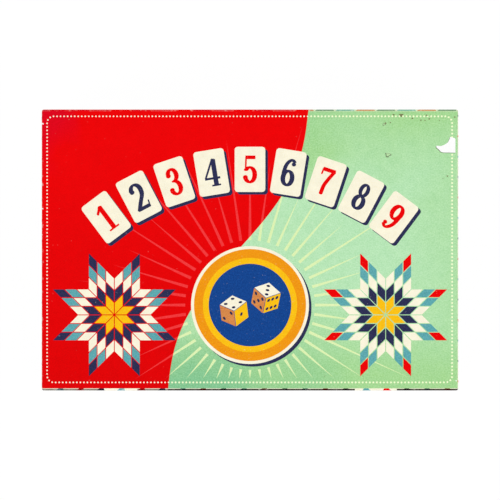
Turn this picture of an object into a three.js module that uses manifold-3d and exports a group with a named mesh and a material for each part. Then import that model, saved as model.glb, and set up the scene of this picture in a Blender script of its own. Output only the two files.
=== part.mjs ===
// Shut the box: a wooden dice and number tile game, packed in a wrapped rigid carton.
// Millimetres, +Z up. The origin is under the middle of the carton, on the surface it lies on.
// The front of the game, where the player sits, faces -Y.

import * as THREE from 'three';
import { mergeVertices } from 'three/addons/utils/BufferGeometryUtils.js';
import Module from 'manifold-3d';

const wasm = await Module();
wasm.setup();

// Wooden tray
const trayLength = 200;
const trayWidth = 130;
const trayCornerRadius = 4;
const railHeight = 21.8;
const endRailThickness = 7;
const frontRailThickness = 7;
const backRailThickness = 9.5;
const cheekThickness = 5;
const dividerThickness = 8;
const edgeEase = 0.6;
const mitreGap = 0.1;

// Bottom panel in its rebate, and the cloth laid on it
const panelThickness = 3;
const rebateDepth = 3.5;
const panelClearance = 0.1;
const feltThickness = 0.8;
const feltClearance = 0.2;

// Number tiles on their rod
const tileCount = 9;
const tileLength = 41;
const tileThickness = 5;
const tileGap = 1.3;
const rowEndGap = 2.25;
const rodSetback = 4.5;
const rodDiameter = 2.4;
const rodSeatDepth = 3.5;
const boreClearance = 0.3;
const seatClearance = 0.12;
const swingClearance = 0.45;
const tileDrop = 3.9;
const tileOverhang = 4.6;
const tileRestGap = 0.2;
const tileCornerRadius = 0.9;
const tileEase = 0.4;

// Dice
const dieSide = 16;
const dieRoundness = 11;
const pipRadius = 1.5;
const pipDepth = 0.7;
const pipPitch = 4.1;
const dieRestGap = 0.1;

// Carton: greyboard shells wrapped in printed paper
const boardThickness = 1.7;
const paperThickness = 0.25;
const glueGap = 0.05;
const hemDepth = 15;
const cartonCornerRadius = 1.2;
const cartonEdgeEase = 0.8;
const slideGap = 0.5;
const lidRestGap = 0.1;
const skirtLift = 2;
const trayEndClearance = 0.9;
const traySideClearance = 1.4;
const tileHeadroom = 1.2;
const bottomSheetThickness = 0.3;
const bottomSheetInset = 1.5;

// Loose sheet and the folded spacers in the lid
const leafletLength = 148;
const leafletWidth = 105;
const leafThickness = 0.25;
const leafGap = 0.1;
const foldDepth = 0.4;
const layGap = 0.1;
const spacerBoard = 0.8;
const spacerEndGap = 9;
const spacerSideGap = 1.35;
const spacerTopGap = 0.1;

// Cuts run past a solid by this much
const overrun = 1;

// Facets of round forms
const arcSegments = 4;
const rodSides = 16;
const dieSegments = 24;
const pipSegments = 8;

// Tray heights, from the underside of the tray
const feltTop = panelThickness + feltThickness;
const rodHeight = railHeight - tileDrop - tileThickness / 2;
const dividerTop = rodHeight - tileThickness / 2 - tileRestGap;

// Tray places, from the middle of the tray
const innerLeft = -trayLength / 2 + endRailThickness;
const innerRight = trayLength / 2 - endRailThickness;
const innerFront = -trayWidth / 2 + frontRailThickness;
const innerBack = trayWidth / 2 - backRailThickness;
const rowLeft = innerLeft + cheekThickness + rowEndGap;
const rowRight = innerRight - cheekThickness - rowEndGap;
const tilePitch = (rowRight - rowLeft + tileGap) / tileCount;
const tileWidth = tilePitch - tileGap;
const tileHeelRadius = Math.hypot(rodSetback, tileThickness / 2);
const tileTipRadius = Math.hypot(tileLength - rodSetback, tileThickness / 2);
const rodY = innerBack - tileHeelRadius - swingClearance;
const tileFrontY = rodY + rodSetback - tileLength;
const dividerFront = tileFrontY + tileOverhang;
const dividerBack = dividerFront + dividerThickness;

// Carton walls, outwards from the tray
const paperStep = paperThickness + glueGap;
const wallStep = boardThickness + 2 * paperStep;
const baseInnerX = trayLength / 2 + trayEndClearance;
const baseInnerY = trayWidth / 2 + traySideClearance;
const lidInnerX = baseInnerX + wallStep + slideGap;
const lidInnerY = baseInnerY + wallStep + slideGap;

// Carton heights, from the surface it lies on
const floorTop = bottomSheetThickness + boardThickness;
const leafletThickness = 2 * leafThickness + leafGap;
const leafletBottom = floorTop + layGap;
const trayBottom = leafletBottom + leafletThickness + layGap;
const lidUnderside = trayBottom + rodHeight + tileTipRadius + tileHeadroom;
const baseRim = lidUnderside - lidRestGap;
const cartonDepth = lidUnderside + boardThickness + paperStep;

// Finishes
const redPaper = finish('#e0101c', 0.55);
const creamPaper = finish('#fbf3df', 0.6);
const greyBoard = finish('#a9a296', 0.85);
const whiteCard = finish('#efece4', 0.7);
const yellowWood = finish('#f0aa2a', 0.45);
const paleWood = finish('#d9a860', 0.6);
const blueFelt = finish('#164a8c', 0.95);
const steel = finish('#b9bcc0', 0.3, 1);
const tanWood = finish('#d0834a', 0.5);

function finish(color, roughness, metalness = 0) {
  return new THREE.MeshStandardMaterial({ color, roughness, metalness });
}

// Solids and booleans

function solidOf(geometry) {
  const bare = geometry.clone();
  bare.deleteAttribute('normal');
  bare.deleteAttribute('uv');
  const merged = mergeVertices(bare);
  return new wasm.Manifold(new wasm.Mesh({
    numProp: 3,
    vertProperties: Float32Array.from(merged.attributes.position.array),
    triVerts: Uint32Array.from(merged.index.array),
  }));
}

function geometryOf(solid) {
  const cut = solid.getMesh();
  const geometry = new THREE.BufferGeometry();
  geometry.setAttribute('position', new THREE.BufferAttribute(cut.vertProperties, 3));
  geometry.setIndex(new THREE.BufferAttribute(cut.triVerts, 1));
  geometry.computeVertexNormals();
  return geometry;
}

function piece(name, geometry, material) {
  const mesh = new THREE.Mesh(geometry, material);
  mesh.name = name;
  return mesh;
}

// A rectangle with round corners, in the plane of a Shape
function roundedRectangle(halfX, halfY, radius) {
  const shape = new THREE.Shape();
  shape.absarc(halfX - radius, halfY - radius, radius, 0, Math.PI / 2);
  shape.absarc(radius - halfX, halfY - radius, radius, Math.PI / 2, Math.PI);
  shape.absarc(radius - halfX, radius - halfY, radius, Math.PI, 1.5 * Math.PI);
  shape.absarc(halfX - radius, radius - halfY, radius, 1.5 * Math.PI, 2 * Math.PI);
  return shape;
}

// A block with round upright edges, between two heights
function block(halfX, halfY, bottom, top, radius) {
  const shape = roundedRectangle(halfX, halfY, radius);
  const options = { depth: top - bottom, bevelEnabled: false, curveSegments: arcSegments };
  return new THREE.ExtrudeGeometry(shape, options).translate(0, 0, bottom);
}

// The same block with its top and bottom edges eased too
function softBlock(halfX, halfY, bottom, top, radius, ease) {
  const shape = roundedRectangle(halfX, halfY, radius);
  const options = {
    depth: top - bottom - 2 * ease,
    bevelThickness: ease,
    bevelSize: ease,
    bevelOffset: -ease,
    bevelSegments: arcSegments,
    curveSegments: arcSegments,
  };
  return new THREE.ExtrudeGeometry(shape, options).translate(0, 0, bottom + ease);
}

// A box between two corners
function boxBetween(low, high) {
  const box = new THREE.BoxGeometry(high.x - low.x, high.y - low.y, high.z - low.z);
  return box.translate((low.x + high.x) / 2, (low.y + high.y) / 2, (low.z + high.z) / 2);
}

function point(x, y, z) {
  return new THREE.Vector3(x, y, z);
}

// A strip's cross-section, across by up, with its two top edges eased
function stripProfile(width, height, ease) {
  const shape = new THREE.Shape();
  shape.moveTo(0, 0);
  shape.lineTo(width, 0);
  shape.lineTo(width, height - ease);
  shape.absarc(width - ease, height - ease, ease, 0, Math.PI / 2);
  shape.lineTo(ease, height);
  shape.absarc(ease, height - ease, ease, Math.PI / 2, Math.PI);
  return shape;
}

// Sweeps a profile along +X: its width runs along +Y and its height up
function sweepAlongX(shape, length) {
  const options = { depth: length, bevelEnabled: false, curveSegments: arcSegments };
  return standAlongX(new THREE.ExtrudeGeometry(shape, options)).translate(-length / 2, 0, 0);
}

function standAlongX(geometry) {
  const turn = new THREE.Matrix4().makeBasis(point(0, 1, 0), point(0, 0, 1), point(1, 0, 0));
  return geometry.applyMatrix4(turn);
}

// Carton

function addCartonBase(group) {
  const board = solidOf(softBlock(
    baseInnerX + paperStep + boardThickness,
    baseInnerY + paperStep + boardThickness,
    bottomSheetThickness,
    baseRim + cartonCornerRadius,
    cartonCornerRadius - paperStep,
    cartonEdgeEase - paperStep,
  ));
  const room = solidOf(block(
    baseInnerX + paperStep,
    baseInnerY + paperStep,
    floorTop,
    baseRim + 2 * overrun,
    cartonCornerRadius - paperStep,
  ));
  const above = solidOf(boxBetween(
    point(-lidInnerX, -lidInnerY, baseRim - paperStep),
    point(lidInnerX, lidInnerY, baseRim + 2 * overrun),
  ));
  group.add(piece('base_board', geometryOf(board.subtract(room).subtract(above)), greyBoard));
  const wrap = wrapSleeve(baseInnerX, baseInnerY, bottomSheetThickness, baseRim);
  group.add(piece('base_wrap', geometryOf(wrap), creamPaper));
  const sheet = block(
    baseInnerX + wallStep - bottomSheetInset,
    baseInnerY + wallStep - bottomSheetInset,
    0,
    bottomSheetThickness,
    cartonCornerRadius,
  );
  group.add(piece('base_bottom_sheet', sheet, whiteCard));
}

// Paper round the base's walls, turned over the rim and down inside by the hem
function wrapSleeve(innerX, innerY, bottom, rim) {
  const outer = solidOf(block(
    innerX + wallStep, innerY + wallStep, bottom, rim, cartonCornerRadius,
  ));
  const boardRoom = solidOf(block(
    innerX + wallStep - paperThickness,
    innerY + wallStep - paperThickness,
    bottom - overrun,
    rim - paperThickness,
    cartonCornerRadius - paperThickness,
  ));
  const hem = solidOf(block(
    innerX + paperThickness, innerY + paperThickness, rim - hemDepth, rim, cartonCornerRadius,
  ));
  const inside = solidOf(block(
    innerX, innerY, bottom - overrun, rim + overrun, cartonCornerRadius,
  ));
  return outer.subtract(boardRoom).add(hem).subtract(inside);
}

function addLid(group) {
  const outerX = lidInnerX + wallStep;
  const outerY = lidInnerY + wallStep;
  const board = solidOf(softBlock(
    outerX - paperStep,
    outerY - paperStep,
    skirtLift - cartonCornerRadius,
    cartonDepth - paperStep,
    cartonCornerRadius - paperStep,
    cartonEdgeEase - paperStep,
  ));
  const room = solidOf(block(
    lidInnerX + paperStep,
    lidInnerY + paperStep,
    skirtLift - 2 * overrun,
    lidUnderside,
    cartonCornerRadius - paperStep,
  ));
  const below = solidOf(boxBetween(
    point(-outerX, -outerY, skirtLift - 2 * overrun),
    point(outerX, outerY, skirtLift + paperStep),
  ));
  group.add(piece('lid_board', geometryOf(board.subtract(room).subtract(below)), greyBoard));
  group.add(piece('lid_wrap', geometryOf(lidWrapSolid(outerX, outerY)), redPaper));
  for (const side of [-1, 1]) {
    group.add(lidSpacer(side));
  }
}

// Paper over the lid's top and walls, turned up inside by the hem
function lidWrapSolid(outerX, outerY) {
  const skin = solidOf(softBlock(
    outerX,
    outerY,
    skirtLift - cartonCornerRadius,
    cartonDepth,
    cartonCornerRadius,
    cartonEdgeEase,
  ));
  const below = solidOf(boxBetween(
    point(-outerX - overrun, -outerY - overrun, skirtLift - 2 * overrun),
    point(outerX + overrun, outerY + overrun, skirtLift),
  ));
  const boardRoom = solidOf(softBlock(
    outerX - paperThickness,
    outerY - paperThickness,
    skirtLift - cartonCornerRadius,
    cartonDepth - paperThickness,
    cartonCornerRadius - paperThickness,
    cartonEdgeEase - paperThickness,
  )).subtract(solidOf(boxBetween(
    point(-outerX, -outerY, skirtLift - 2 * overrun),
    point(outerX, outerY, skirtLift + paperThickness),
  )));
  const hem = solidOf(block(
    lidInnerX + paperThickness,
    lidInnerY + paperThickness,
    skirtLift,
    skirtLift + hemDepth,
    cartonCornerRadius,
  )).subtract(solidOf(block(
    lidInnerX, lidInnerY, skirtLift - overrun, skirtLift + hemDepth + overrun, cartonCornerRadius,
  )));
  const mouth = solidOf(block(
    lidInnerX, lidInnerY, skirtLift - overrun, skirtLift + hemDepth, cartonCornerRadius,
  ));
  return skin.subtract(below).subtract(boardRoom).add(hem).subtract(mouth);
}

// A folded card channel under the lid, over an end rail and its cheek, that keeps the tray down
function lidSpacer(side) {
  const outerFace = baseInnerX - spacerSideGap;
  const innerFace = rowRight + rowEndGap;
  const bottom = trayBottom + railHeight + layGap;
  const top = lidUnderside - spacerTopGap;
  const shape = new THREE.Shape();
  shape.moveTo(innerFace, bottom);
  shape.lineTo(innerFace + spacerBoard, bottom);
  shape.lineTo(innerFace + spacerBoard, top - spacerBoard);
  shape.lineTo(outerFace - spacerBoard, top - spacerBoard);
  shape.lineTo(outerFace - spacerBoard, bottom);
  shape.lineTo(outerFace, bottom);
  shape.lineTo(outerFace, top);
  shape.lineTo(innerFace, top);
  const length = trayWidth - 2 * spacerEndGap;
  const channel = new THREE.ExtrudeGeometry(shape, { depth: length, bevelEnabled: false });
  channel.translate(0, 0, -length / 2);
  channel.rotateX(Math.PI / 2);
  if (side < 0) {
    channel.rotateZ(Math.PI);
  }
  return piece(side < 0 ? 'lid_spacer_left' : 'lid_spacer_right', channel, whiteCard);
}

// One sheet folded once, with its fold to the left
function addLeaflet(group) {
  const shape = new THREE.Shape();
  shape.moveTo(0, 0);
  shape.lineTo(leafletLength, 0);
  shape.lineTo(leafletLength, leafThickness);
  shape.lineTo(foldDepth, leafThickness);
  shape.lineTo(foldDepth, leafThickness + leafGap);
  shape.lineTo(leafletLength, leafThickness + leafGap);
  shape.lineTo(leafletLength, leafletThickness);
  shape.lineTo(0, leafletThickness);
  const sheet = new THREE.ExtrudeGeometry(shape, { depth: leafletWidth, bevelEnabled: false });
  sheet.rotateX(Math.PI / 2);
  sheet.translate(-leafletLength / 2, leafletWidth / 2, leafletBottom);
  group.add(piece('rules_leaflet', sheet, creamPaper));
}

// Tray

function addRails(tray) {
  const corners = solidOf(block(
    trayLength / 2, trayWidth / 2, -overrun, railHeight + overrun, trayCornerRadius,
  ));
  const rails = [
    ['front_rail', frontRailThickness, trayLength, trayWidth, endRailThickness, endRailThickness],
    ['right_rail', endRailThickness, trayWidth, trayLength, frontRailThickness, backRailThickness],
    ['back_rail', backRailThickness, trayLength, trayWidth, endRailThickness, endRailThickness],
    ['left_rail', endRailThickness, trayWidth, trayLength, backRailThickness, frontRailThickness],
  ];
  rails.forEach(([name, thickness, length, span, startThickness, endThickness], quarter) => {
    const strip = sweepAlongX(stripProfile(thickness, railHeight, edgeEase), length);
    const rebate = boxBetween(
      point(-length, thickness - rebateDepth, -overrun),
      point(length, thickness + overrun, panelThickness),
    );
    const wedge = mitreWedge(length, thickness, startThickness, endThickness);
    const rail = solidOf(strip).subtract(solidOf(rebate)).intersect(solidOf(wedge));
    const placed = geometryOf(rail);
    placed.translate(0, -span / 2, 0);
    placed.rotateZ(quarter * Math.PI / 2);
    tray.add(piece(name, geometryOf(solidOf(placed).intersect(corners)), yellowWood));
  });
}

// The plan of a rail between its two mitres, from its outer edge inwards
function mitreWedge(length, thickness, startThickness, endThickness) {
  const reach = thickness + overrun;
  const startReach = startThickness * reach / thickness;
  const endReach = endThickness * reach / thickness;
  const shape = new THREE.Shape();
  shape.moveTo(mitreGap - length / 2, 0);
  shape.lineTo(length / 2 - mitreGap, 0);
  shape.lineTo(length / 2 - mitreGap - endReach, reach);
  shape.lineTo(mitreGap - length / 2 + startReach, reach);
  const options = { depth: railHeight + 2 * overrun, bevelEnabled: false };
  return new THREE.ExtrudeGeometry(shape, options).translate(0, 0, -overrun);
}

// Strips glued inside the end rails, with a blind hole each for the rod
function addCheeks(tray) {
  const length = innerBack - innerFront;
  const height = railHeight - panelThickness;
  const strip = sweepAlongX(stripProfile(cheekThickness, height, edgeEase), length);
  const holeRadius = rodDiameter / 2 + seatClearance;
  const hole = rodCylinder(holeRadius, 2 * (rodSeatDepth + boreClearance));
  hole.translate(0, rodY, rodHeight);
  for (const side of [-1, 1]) {
    const placed = strip.clone();
    placed.translate(0, -cheekThickness / 2, 0);
    placed.rotateZ(Math.PI / 2);
    placed.translate(
      side * (innerRight - cheekThickness / 2),
      (innerFront + innerBack) / 2,
      panelThickness,
    );
    const seat = hole.clone().translate(side * (innerRight - cheekThickness), 0, 0);
    const cheek = geometryOf(solidOf(placed).subtract(solidOf(seat)));
    tray.add(piece(side < 0 ? 'left_cheek' : 'right_cheek', cheek, yellowWood));
  }
}

function rodCylinder(radius, length) {
  return new THREE.CylinderGeometry(radius, radius, length, rodSides).rotateZ(Math.PI / 2);
}

function addDivider(tray) {
  const length = innerRight - innerLeft - 2 * cheekThickness;
  const height = dividerTop - panelThickness;
  const strip = sweepAlongX(stripProfile(dividerThickness, height, edgeEase), length);
  strip.translate(0, dividerFront, panelThickness);
  tray.add(piece('divider_rail', strip, yellowWood));
}

function addPanelAndFelts(tray) {
  const reach = rebateDepth - panelClearance;
  const panel = boxBetween(
    point(innerLeft - reach, innerFront - reach, 0),
    point(innerRight + reach, innerBack + reach, panelThickness),
  );
  tray.add(piece('bottom_panel', panel, paleWood));
  const left = innerLeft + cheekThickness + feltClearance;
  const right = innerRight - cheekThickness - feltClearance;
  const felts = [
    ['well_felt', innerFront, dividerFront],
    ['bay_felt', dividerBack, innerBack],
  ];
  for (const [name, front, back] of felts) {
    const cloth = boxBetween(
      point(left, front + feltClearance, panelThickness),
      point(right, back - feltClearance, feltTop),
    );
    tray.add(piece(name, cloth, blueFelt));
  }
}

function addTileRow(tray) {
  const rodLength = innerRight - innerLeft - 2 * (cheekThickness - rodSeatDepth);
  const rod = rodCylinder(rodDiameter / 2, rodLength).translate(0, rodY, rodHeight);
  tray.add(piece('tile_rod', rod, steel));
  const row = new THREE.Group();
  row.position.set(rowLeft + tileWidth / 2, rodY, rodHeight);
  for (let number = 1; number <= tileCount; number += 1) {
    const tile = piece(`number_tile_${number}`, tileGeometry(), yellowWood);
    tile.position.x = (number - 1) * tilePitch;
    row.add(tile);
  }
  tray.add(row);
}

// A flat wooden tile lying forward from its bore, which is at the mesh's origin
function tileGeometry() {
  const halfLength = tileLength / 2;
  const shape = roundedRectangle(halfLength, tileThickness / 2, tileCornerRadius);
  const bore = new THREE.Path();
  const boreRadius = rodDiameter / 2 + boreClearance;
  bore.absarc(halfLength - rodSetback, 0, boreRadius, 0, 2 * Math.PI, true);
  shape.holes.push(bore);
  const options = {
    depth: tileWidth - 2 * tileEase,
    bevelThickness: tileEase,
    bevelSize: tileEase,
    bevelOffset: -tileEase,
    bevelSegments: 1,
    curveSegments: arcSegments,
  };
  const tile = new THREE.ExtrudeGeometry(shape, options);
  tile.translate(rodSetback - halfLength, 0, tileEase - tileWidth / 2);
  return standAlongX(tile);
}

// Dice

const pipPlaces = {
  1: [[0, 0]],
  2: [[-1, -1], [1, 1]],
  3: [[-1, -1], [0, 0], [1, 1]],
  4: [[-1, -1], [-1, 1], [1, -1], [1, 1]],
  5: [[-1, -1], [-1, 1], [0, 0], [1, -1], [1, 1]],
  6: [[-1, -1], [-1, 0], [-1, 1], [1, -1], [1, 0], [1, 1]],
};

// The way each numbered face looks, as turns about X and Y from straight up
const faceTurns = {
  1: [0, 0],
  2: [Math.PI / 2, 0],
  3: [0, Math.PI / 2],
  4: [0, -Math.PI / 2],
  5: [-Math.PI / 2, 0],
  6: [Math.PI, 0],
};

function dieGeometry() {
  const cube = solidOf(new THREE.BoxGeometry(dieSide, dieSide, dieSide));
  const ball = solidOf(new THREE.SphereGeometry(dieRoundness, dieSegments, dieSegments / 2));
  const cutterRadius = (pipRadius ** 2 + pipDepth ** 2) / (2 * pipDepth);
  const cutter = new THREE.SphereGeometry(cutterRadius, pipSegments, pipSegments);
  let die = cube.intersect(ball);
  for (const [number, [turnX, turnY]] of Object.entries(faceTurns)) {
    for (const [across, along] of pipPlaces[number]) {
      const pip = cutter.clone().rotateX(Math.PI / 2);
      pip.translate(across * pipPitch, along * pipPitch, dieSide / 2 + cutterRadius - pipDepth);
      pip.rotateX(turnX).rotateY(turnY);
      die = die.subtract(solidOf(pip));
    }
  }
  return geometryOf(die);
}

// Each die's place, as shares of the dice well from its left front corner, and how it lies
const dicePlaces = [
  { name: 'die_1', acrossShare: 0.2, alongShare: 0.32, heading: 0.45, tip: 0 },
  { name: 'die_2', acrossShare: 0.42, alongShare: 0.7, heading: -0.3, tip: Math.PI / 2 },
];

function addDice(tray) {
  const wellLeft = innerLeft + cheekThickness;
  const wellLength = innerRight - cheekThickness - wellLeft;
  const wellWidth = dividerFront - innerFront;
  for (const { name, acrossShare, alongShare, heading, tip } of dicePlaces) {
    const die = piece(name, dieGeometry().rotateX(tip), tanWood);
    die.rotation.z = heading;
    die.position.set(
      wellLeft + acrossShare * wellLength,
      innerFront + alongShare * wellWidth,
      feltTop + dieSide / 2 + dieRestGap,
    );
    tray.add(die);
  }
}

// Assembly

const game = new THREE.Group();
addCartonBase(game);
addLeaflet(game);

const tray = new THREE.Group();
tray.position.z = trayBottom;
addRails(tray);
addCheeks(tray);
addDivider(tray);
addPanelAndFelts(tray);
addTileRow(tray);
addDice(tray);
game.add(tray);

addLid(game);

export default game;
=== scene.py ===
import math
from functools import partialmethod

import bmesh
import bpy
from mathutils import Matrix, Vector, geometry


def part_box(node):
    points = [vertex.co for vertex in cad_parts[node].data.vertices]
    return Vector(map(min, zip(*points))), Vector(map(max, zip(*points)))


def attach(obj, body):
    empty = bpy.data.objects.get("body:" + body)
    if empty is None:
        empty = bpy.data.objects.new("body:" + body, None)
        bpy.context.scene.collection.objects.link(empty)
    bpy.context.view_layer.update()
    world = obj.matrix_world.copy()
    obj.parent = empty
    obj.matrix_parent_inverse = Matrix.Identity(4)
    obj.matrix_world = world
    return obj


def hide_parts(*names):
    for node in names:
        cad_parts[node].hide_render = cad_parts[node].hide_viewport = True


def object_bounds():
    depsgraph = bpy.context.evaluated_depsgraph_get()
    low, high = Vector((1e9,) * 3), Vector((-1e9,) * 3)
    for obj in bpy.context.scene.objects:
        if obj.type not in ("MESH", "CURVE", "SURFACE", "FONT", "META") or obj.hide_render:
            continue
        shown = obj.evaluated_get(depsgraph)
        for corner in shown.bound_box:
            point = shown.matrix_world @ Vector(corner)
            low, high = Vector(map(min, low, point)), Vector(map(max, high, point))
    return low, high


bl_info = {
    "name": "Shut the Box Game Looks",
    "version": (1, 0, 0),
    "blender": (4, 5, 0),
    "location": "3D View > Sidebar > Shut the Box",
    "description": "Dresses the packed shut the box game: its carton, wooden tray, number tiles and dice",
    "category": "Add Mesh",
}

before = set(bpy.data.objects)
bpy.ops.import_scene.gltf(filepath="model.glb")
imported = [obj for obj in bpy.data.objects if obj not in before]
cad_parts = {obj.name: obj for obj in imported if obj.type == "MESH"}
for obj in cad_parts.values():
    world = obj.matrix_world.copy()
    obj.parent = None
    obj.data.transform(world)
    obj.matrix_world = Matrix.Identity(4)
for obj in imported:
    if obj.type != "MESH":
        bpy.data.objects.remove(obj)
CAD_LOW, CAD_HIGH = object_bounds()

MM = 0.001
TILE_NUMBERS = range(1, 10)
MIDDLE_TILE = 5

# Steps in which the papers' corners, folds and rims are rounded
CORNER_STEPS = 6
FOLD_STEPS = 6
RIM_STEPS = 4

# The print: one layer's thickness, how deep it is sunk in the paper and how softly two colours meet
INK_STEP = 0.02 * MM
INK_SINK = 0.04 * MM
INK_BLUR = 0.08 * MM
# Its layers from the paper up: border and rays, shadows and stars, shapes, and what lies on these
GROUND_LAYER, SHADOW_LAYER, SHAPE_LAYER, TOP_LAYER = 1, 2, 3, 4
PAPER_TOP = CAD_HIGH.z - (TOP_LAYER + 0.5) * INK_STEP
LID_FACE = Matrix.Translation((0, 0, PAPER_TOP))

# How far down a diamond the sheet's first ring cuts it, on the right, back, left and front walls
WALL_PHASES = (0.44, -0.03, 0.44, 0.58)
# Which way round those walls the diamonds' colours run, and how many diamonds they are shifted
WALL_RUNS = ((1, 0), (-1, 18.77), (1, 0), (1, -1.13))
# Middles and half lengths of the lit stretches in the painted shade along the lid's front edge, in
# millimetres
LIT_STRETCHES = ((-65.9, 8.4), (64, 10.5))

# The long S between the lid's two fields: its slant, its bow and how far left of the middle it lies
SEAM_SLANT = 0.5
SEAM_BOW = 9 * MM
SEAM_LEFT = 6 * MM

# Where the usual valleys and hills of a noise lie
NOISE_LOW, NOISE_HIGH = 0.3, 0.7
# How far apart in one great log two pieces of wood are cut, so that no two have the same grain
CUT_STEP = (1.37, 0.71, 0.53)

# Columns and rows of the pips on a face
PIP_PLACES = {
    1: ((0, 0),),
    2: ((-1, -1), (1, 1)),
    3: ((-1, -1), (0, 0), (1, 1)),
    4: ((-1, -1), (-1, 1), (1, -1), (1, 1)),
    5: ((-1, -1), (-1, 1), (0, 0), (1, -1), (1, 1)),
    6: ((-1, -1), (-1, 0), (-1, 1), (1, -1), (1, 0), (1, 1)),
}


def ink(code):
    """The linear colour of an sRGB code such as "e0101c"."""
    channels = [int(code[start:start + 2], 16) / 255 for start in (0, 2, 4)]
    return tuple(c / 12.92 if c <= 0.04045 else ((c + 0.055) / 1.055) ** 2.4 for c in channels)


def toned(tint, factor):
    """A colour made darker or lighter."""
    return tuple(min(1, channel * factor) for channel in tint)


def colour(name, description, code):
    """A colour that a user may change, given as an sRGB code."""
    return bpy.props.FloatVectorProperty(
        name=name, description=description, default=ink(code), size=3, min=0, max=1, subtype="COLOR"
    )


def length(name, description, millimetres):
    """A length that a user may change, given in millimetres and kept in metres."""
    return bpy.props.FloatProperty(
        name=name, description=description, default=millimetres * MM, min=0,
        subtype="DISTANCE", unit="LENGTH", precision=5,
    )


def share(name, description, value):
    """A share from 0 to 1 that a user may change."""
    return bpy.props.FloatProperty(
        name=name, description=description, default=value, min=0, max=1, subtype="FACTOR"
    )


def count(name, description, value):
    """A whole number that a user may change."""
    return bpy.props.IntProperty(name=name, description=description, default=value, min=1)


class PaperLook(bpy.types.PropertyGroup):
    """The carton's printed paper."""

    red: colour("Red", "Left field of the lid", "f00003")
    deep_red: colour("Deep red", "Red field towards the front", "d80002")
    crimson: colour("Crimson", "Red field in its outer back corner", "dc021c")
    mint: colour("Mint", "Right field of the lid, where it is cooler", "bce9ba")
    warm_mint: colour("Warm mint", "Right field of the lid, where it is yellower", "a8da94")
    deep_mint: colour("Deep mint", "Mint field at its inner ends", "86c793")
    cream: colour("Cream", "Dots, number tiles and the pale diamonds", "fff9e0")
    navy: colour("Navy", "Dark diamonds, shadows and numerals", "2c2f52")
    teal: colour("Teal", "Blue-green diamonds", "5faab0")
    worn: colour("Worn edge", "Bare paper where an edge is rubbed", "f1ece2")
    wear: share("Wear", "How much of the folded edges is rubbed bare", 0.2)
    sheen: share("Sheen", "Strength of the print's soft shine", 0.04)
    thickness: length("Paper thickness", "Thickness of the wrapping paper", 0.19)
    fold_radius: length("Fold radius", "Radius of the paper over the lid's edges", 0.8)
    corner_radius: length("Corner radius", "Radius of the carton's upright corners", 1.2)
    rim_radius: length("Rim radius", "Radius of the paper round the rims", 0.35)
    hem: length("Hem", "Depth of the paper turned in at a rim", 15)
    slide_gap: length("Slide gap", "Room between the lid's hem and the base", 0.5)
    tray_gap: length("Tray gap", "Room between the base's hem and the tray's ends", 0.9)
    diamonds_round: count("Diamonds round", "Diamonds in one row round the lid's walls", 68)
    diamond_height: length("Diamond height", "Height of one diamond on the walls", 14)
    # The colour of the painted shade along the lid's front fold
    front_shade: colour("Grime", "Dirt along the front edge", "1c0f0c")
    right_margin: length("Right margin", "Wall pattern showing on top at the right end", 0.3)
    back_margin: length("Back margin", "Wall pattern showing on top at the back", 0.74)
    front_margin: length("Front margin", "Wall pattern showing on top at the front", 1.07)


class PrintLook(bpy.types.PropertyGroup):
    """The shapes printed on the lid."""

    dot_width: length("Dot width", "Width of a dot in the border on the mint field", 1)
    dot_on_red: share("Dots on red", "How wide a dot on the red field is beside one on the mint", 0.8)
    dot_pitch: length("Dot pitch", "Distance between the border's dots", 1.8)
    dot_left_inset: length("Dot inset, left", "From the lid's left end to the row of dots", 2.8)
    dot_right_inset: length("Dot inset, right", "From the lid's right end to the row of dots", 3.2)
    dot_back_inset: length("Dot inset, back", "From the lid's back to the row of dots", 3.5)
    dot_front_inset: length("Dot inset, front", "From the lid's front to the row of dots", 4.15)
    dot_corner: length("Dot corner radius", "Radius of the dotted border's corners", 3.4)
    tile_width: length("Printed tile width", "Width of a printed number tile", 15.6)
    tile_height: length("Printed tile height", "Height of a printed number tile", 23)
    arch_radius: length("Arch radius", "Radius of the arch that the printed tiles stand on", 122)
    arch_rise: length("Arch top", "Height of the arch's middle above the lid's centre", 41)
    shadow_shift: length("Shadow shift", "How far the printed shadows fall to the right and down", 1.3)
    roundel_radius: length("Roundel radius", "Outer radius of the roundel with the dice", 30)
    roundel_drop: length("Roundel drop", "How far the roundel's centre lies below the lid's centre", 28)
    ray_count: count("Rays", "Rays round the roundel", 44)
    ray_reach: length("Ray reach", "How far the longest rays reach from the roundel's centre", 96)
    ray_width: length("Ray width", "Width of a ray at its foot", 1.5)
    star_side: length("Star diamond side", "Side of one diamond in the stars", 6.2)
    star_shown: share("Star diamond size", "Share of a star's diamond side that is inked", 0.9)
    star_spread: length("Star spread", "From the lid's middle to each star's middle", 69)
    star_drop: length("Star drop", "How far the stars' middles lie below the lid's", 33)
    dot_on_mint: colour("Mint dots", "Dots of the border on the mint field", "f4ffd0")
    ray_on_red: colour("Rays on red", "Rays on the red field", "f23a3c")
    ray_on_mint: colour("Rays on mint", "Rays on the mint field", "dff3b4")
    orange: colour("Orange", "Outer ring of the roundel", "f59a12")
    yellow: colour("Yellow", "Inner ring of the roundel", "ffc414")
    blue: colour("Blue", "Ground of the roundel", "14458f")
    tan: colour("Tan", "Dark sides of the printed dice", "d98a4c")
    brown: colour("Brown", "Specks of dirt on the lid", "727446")


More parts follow.
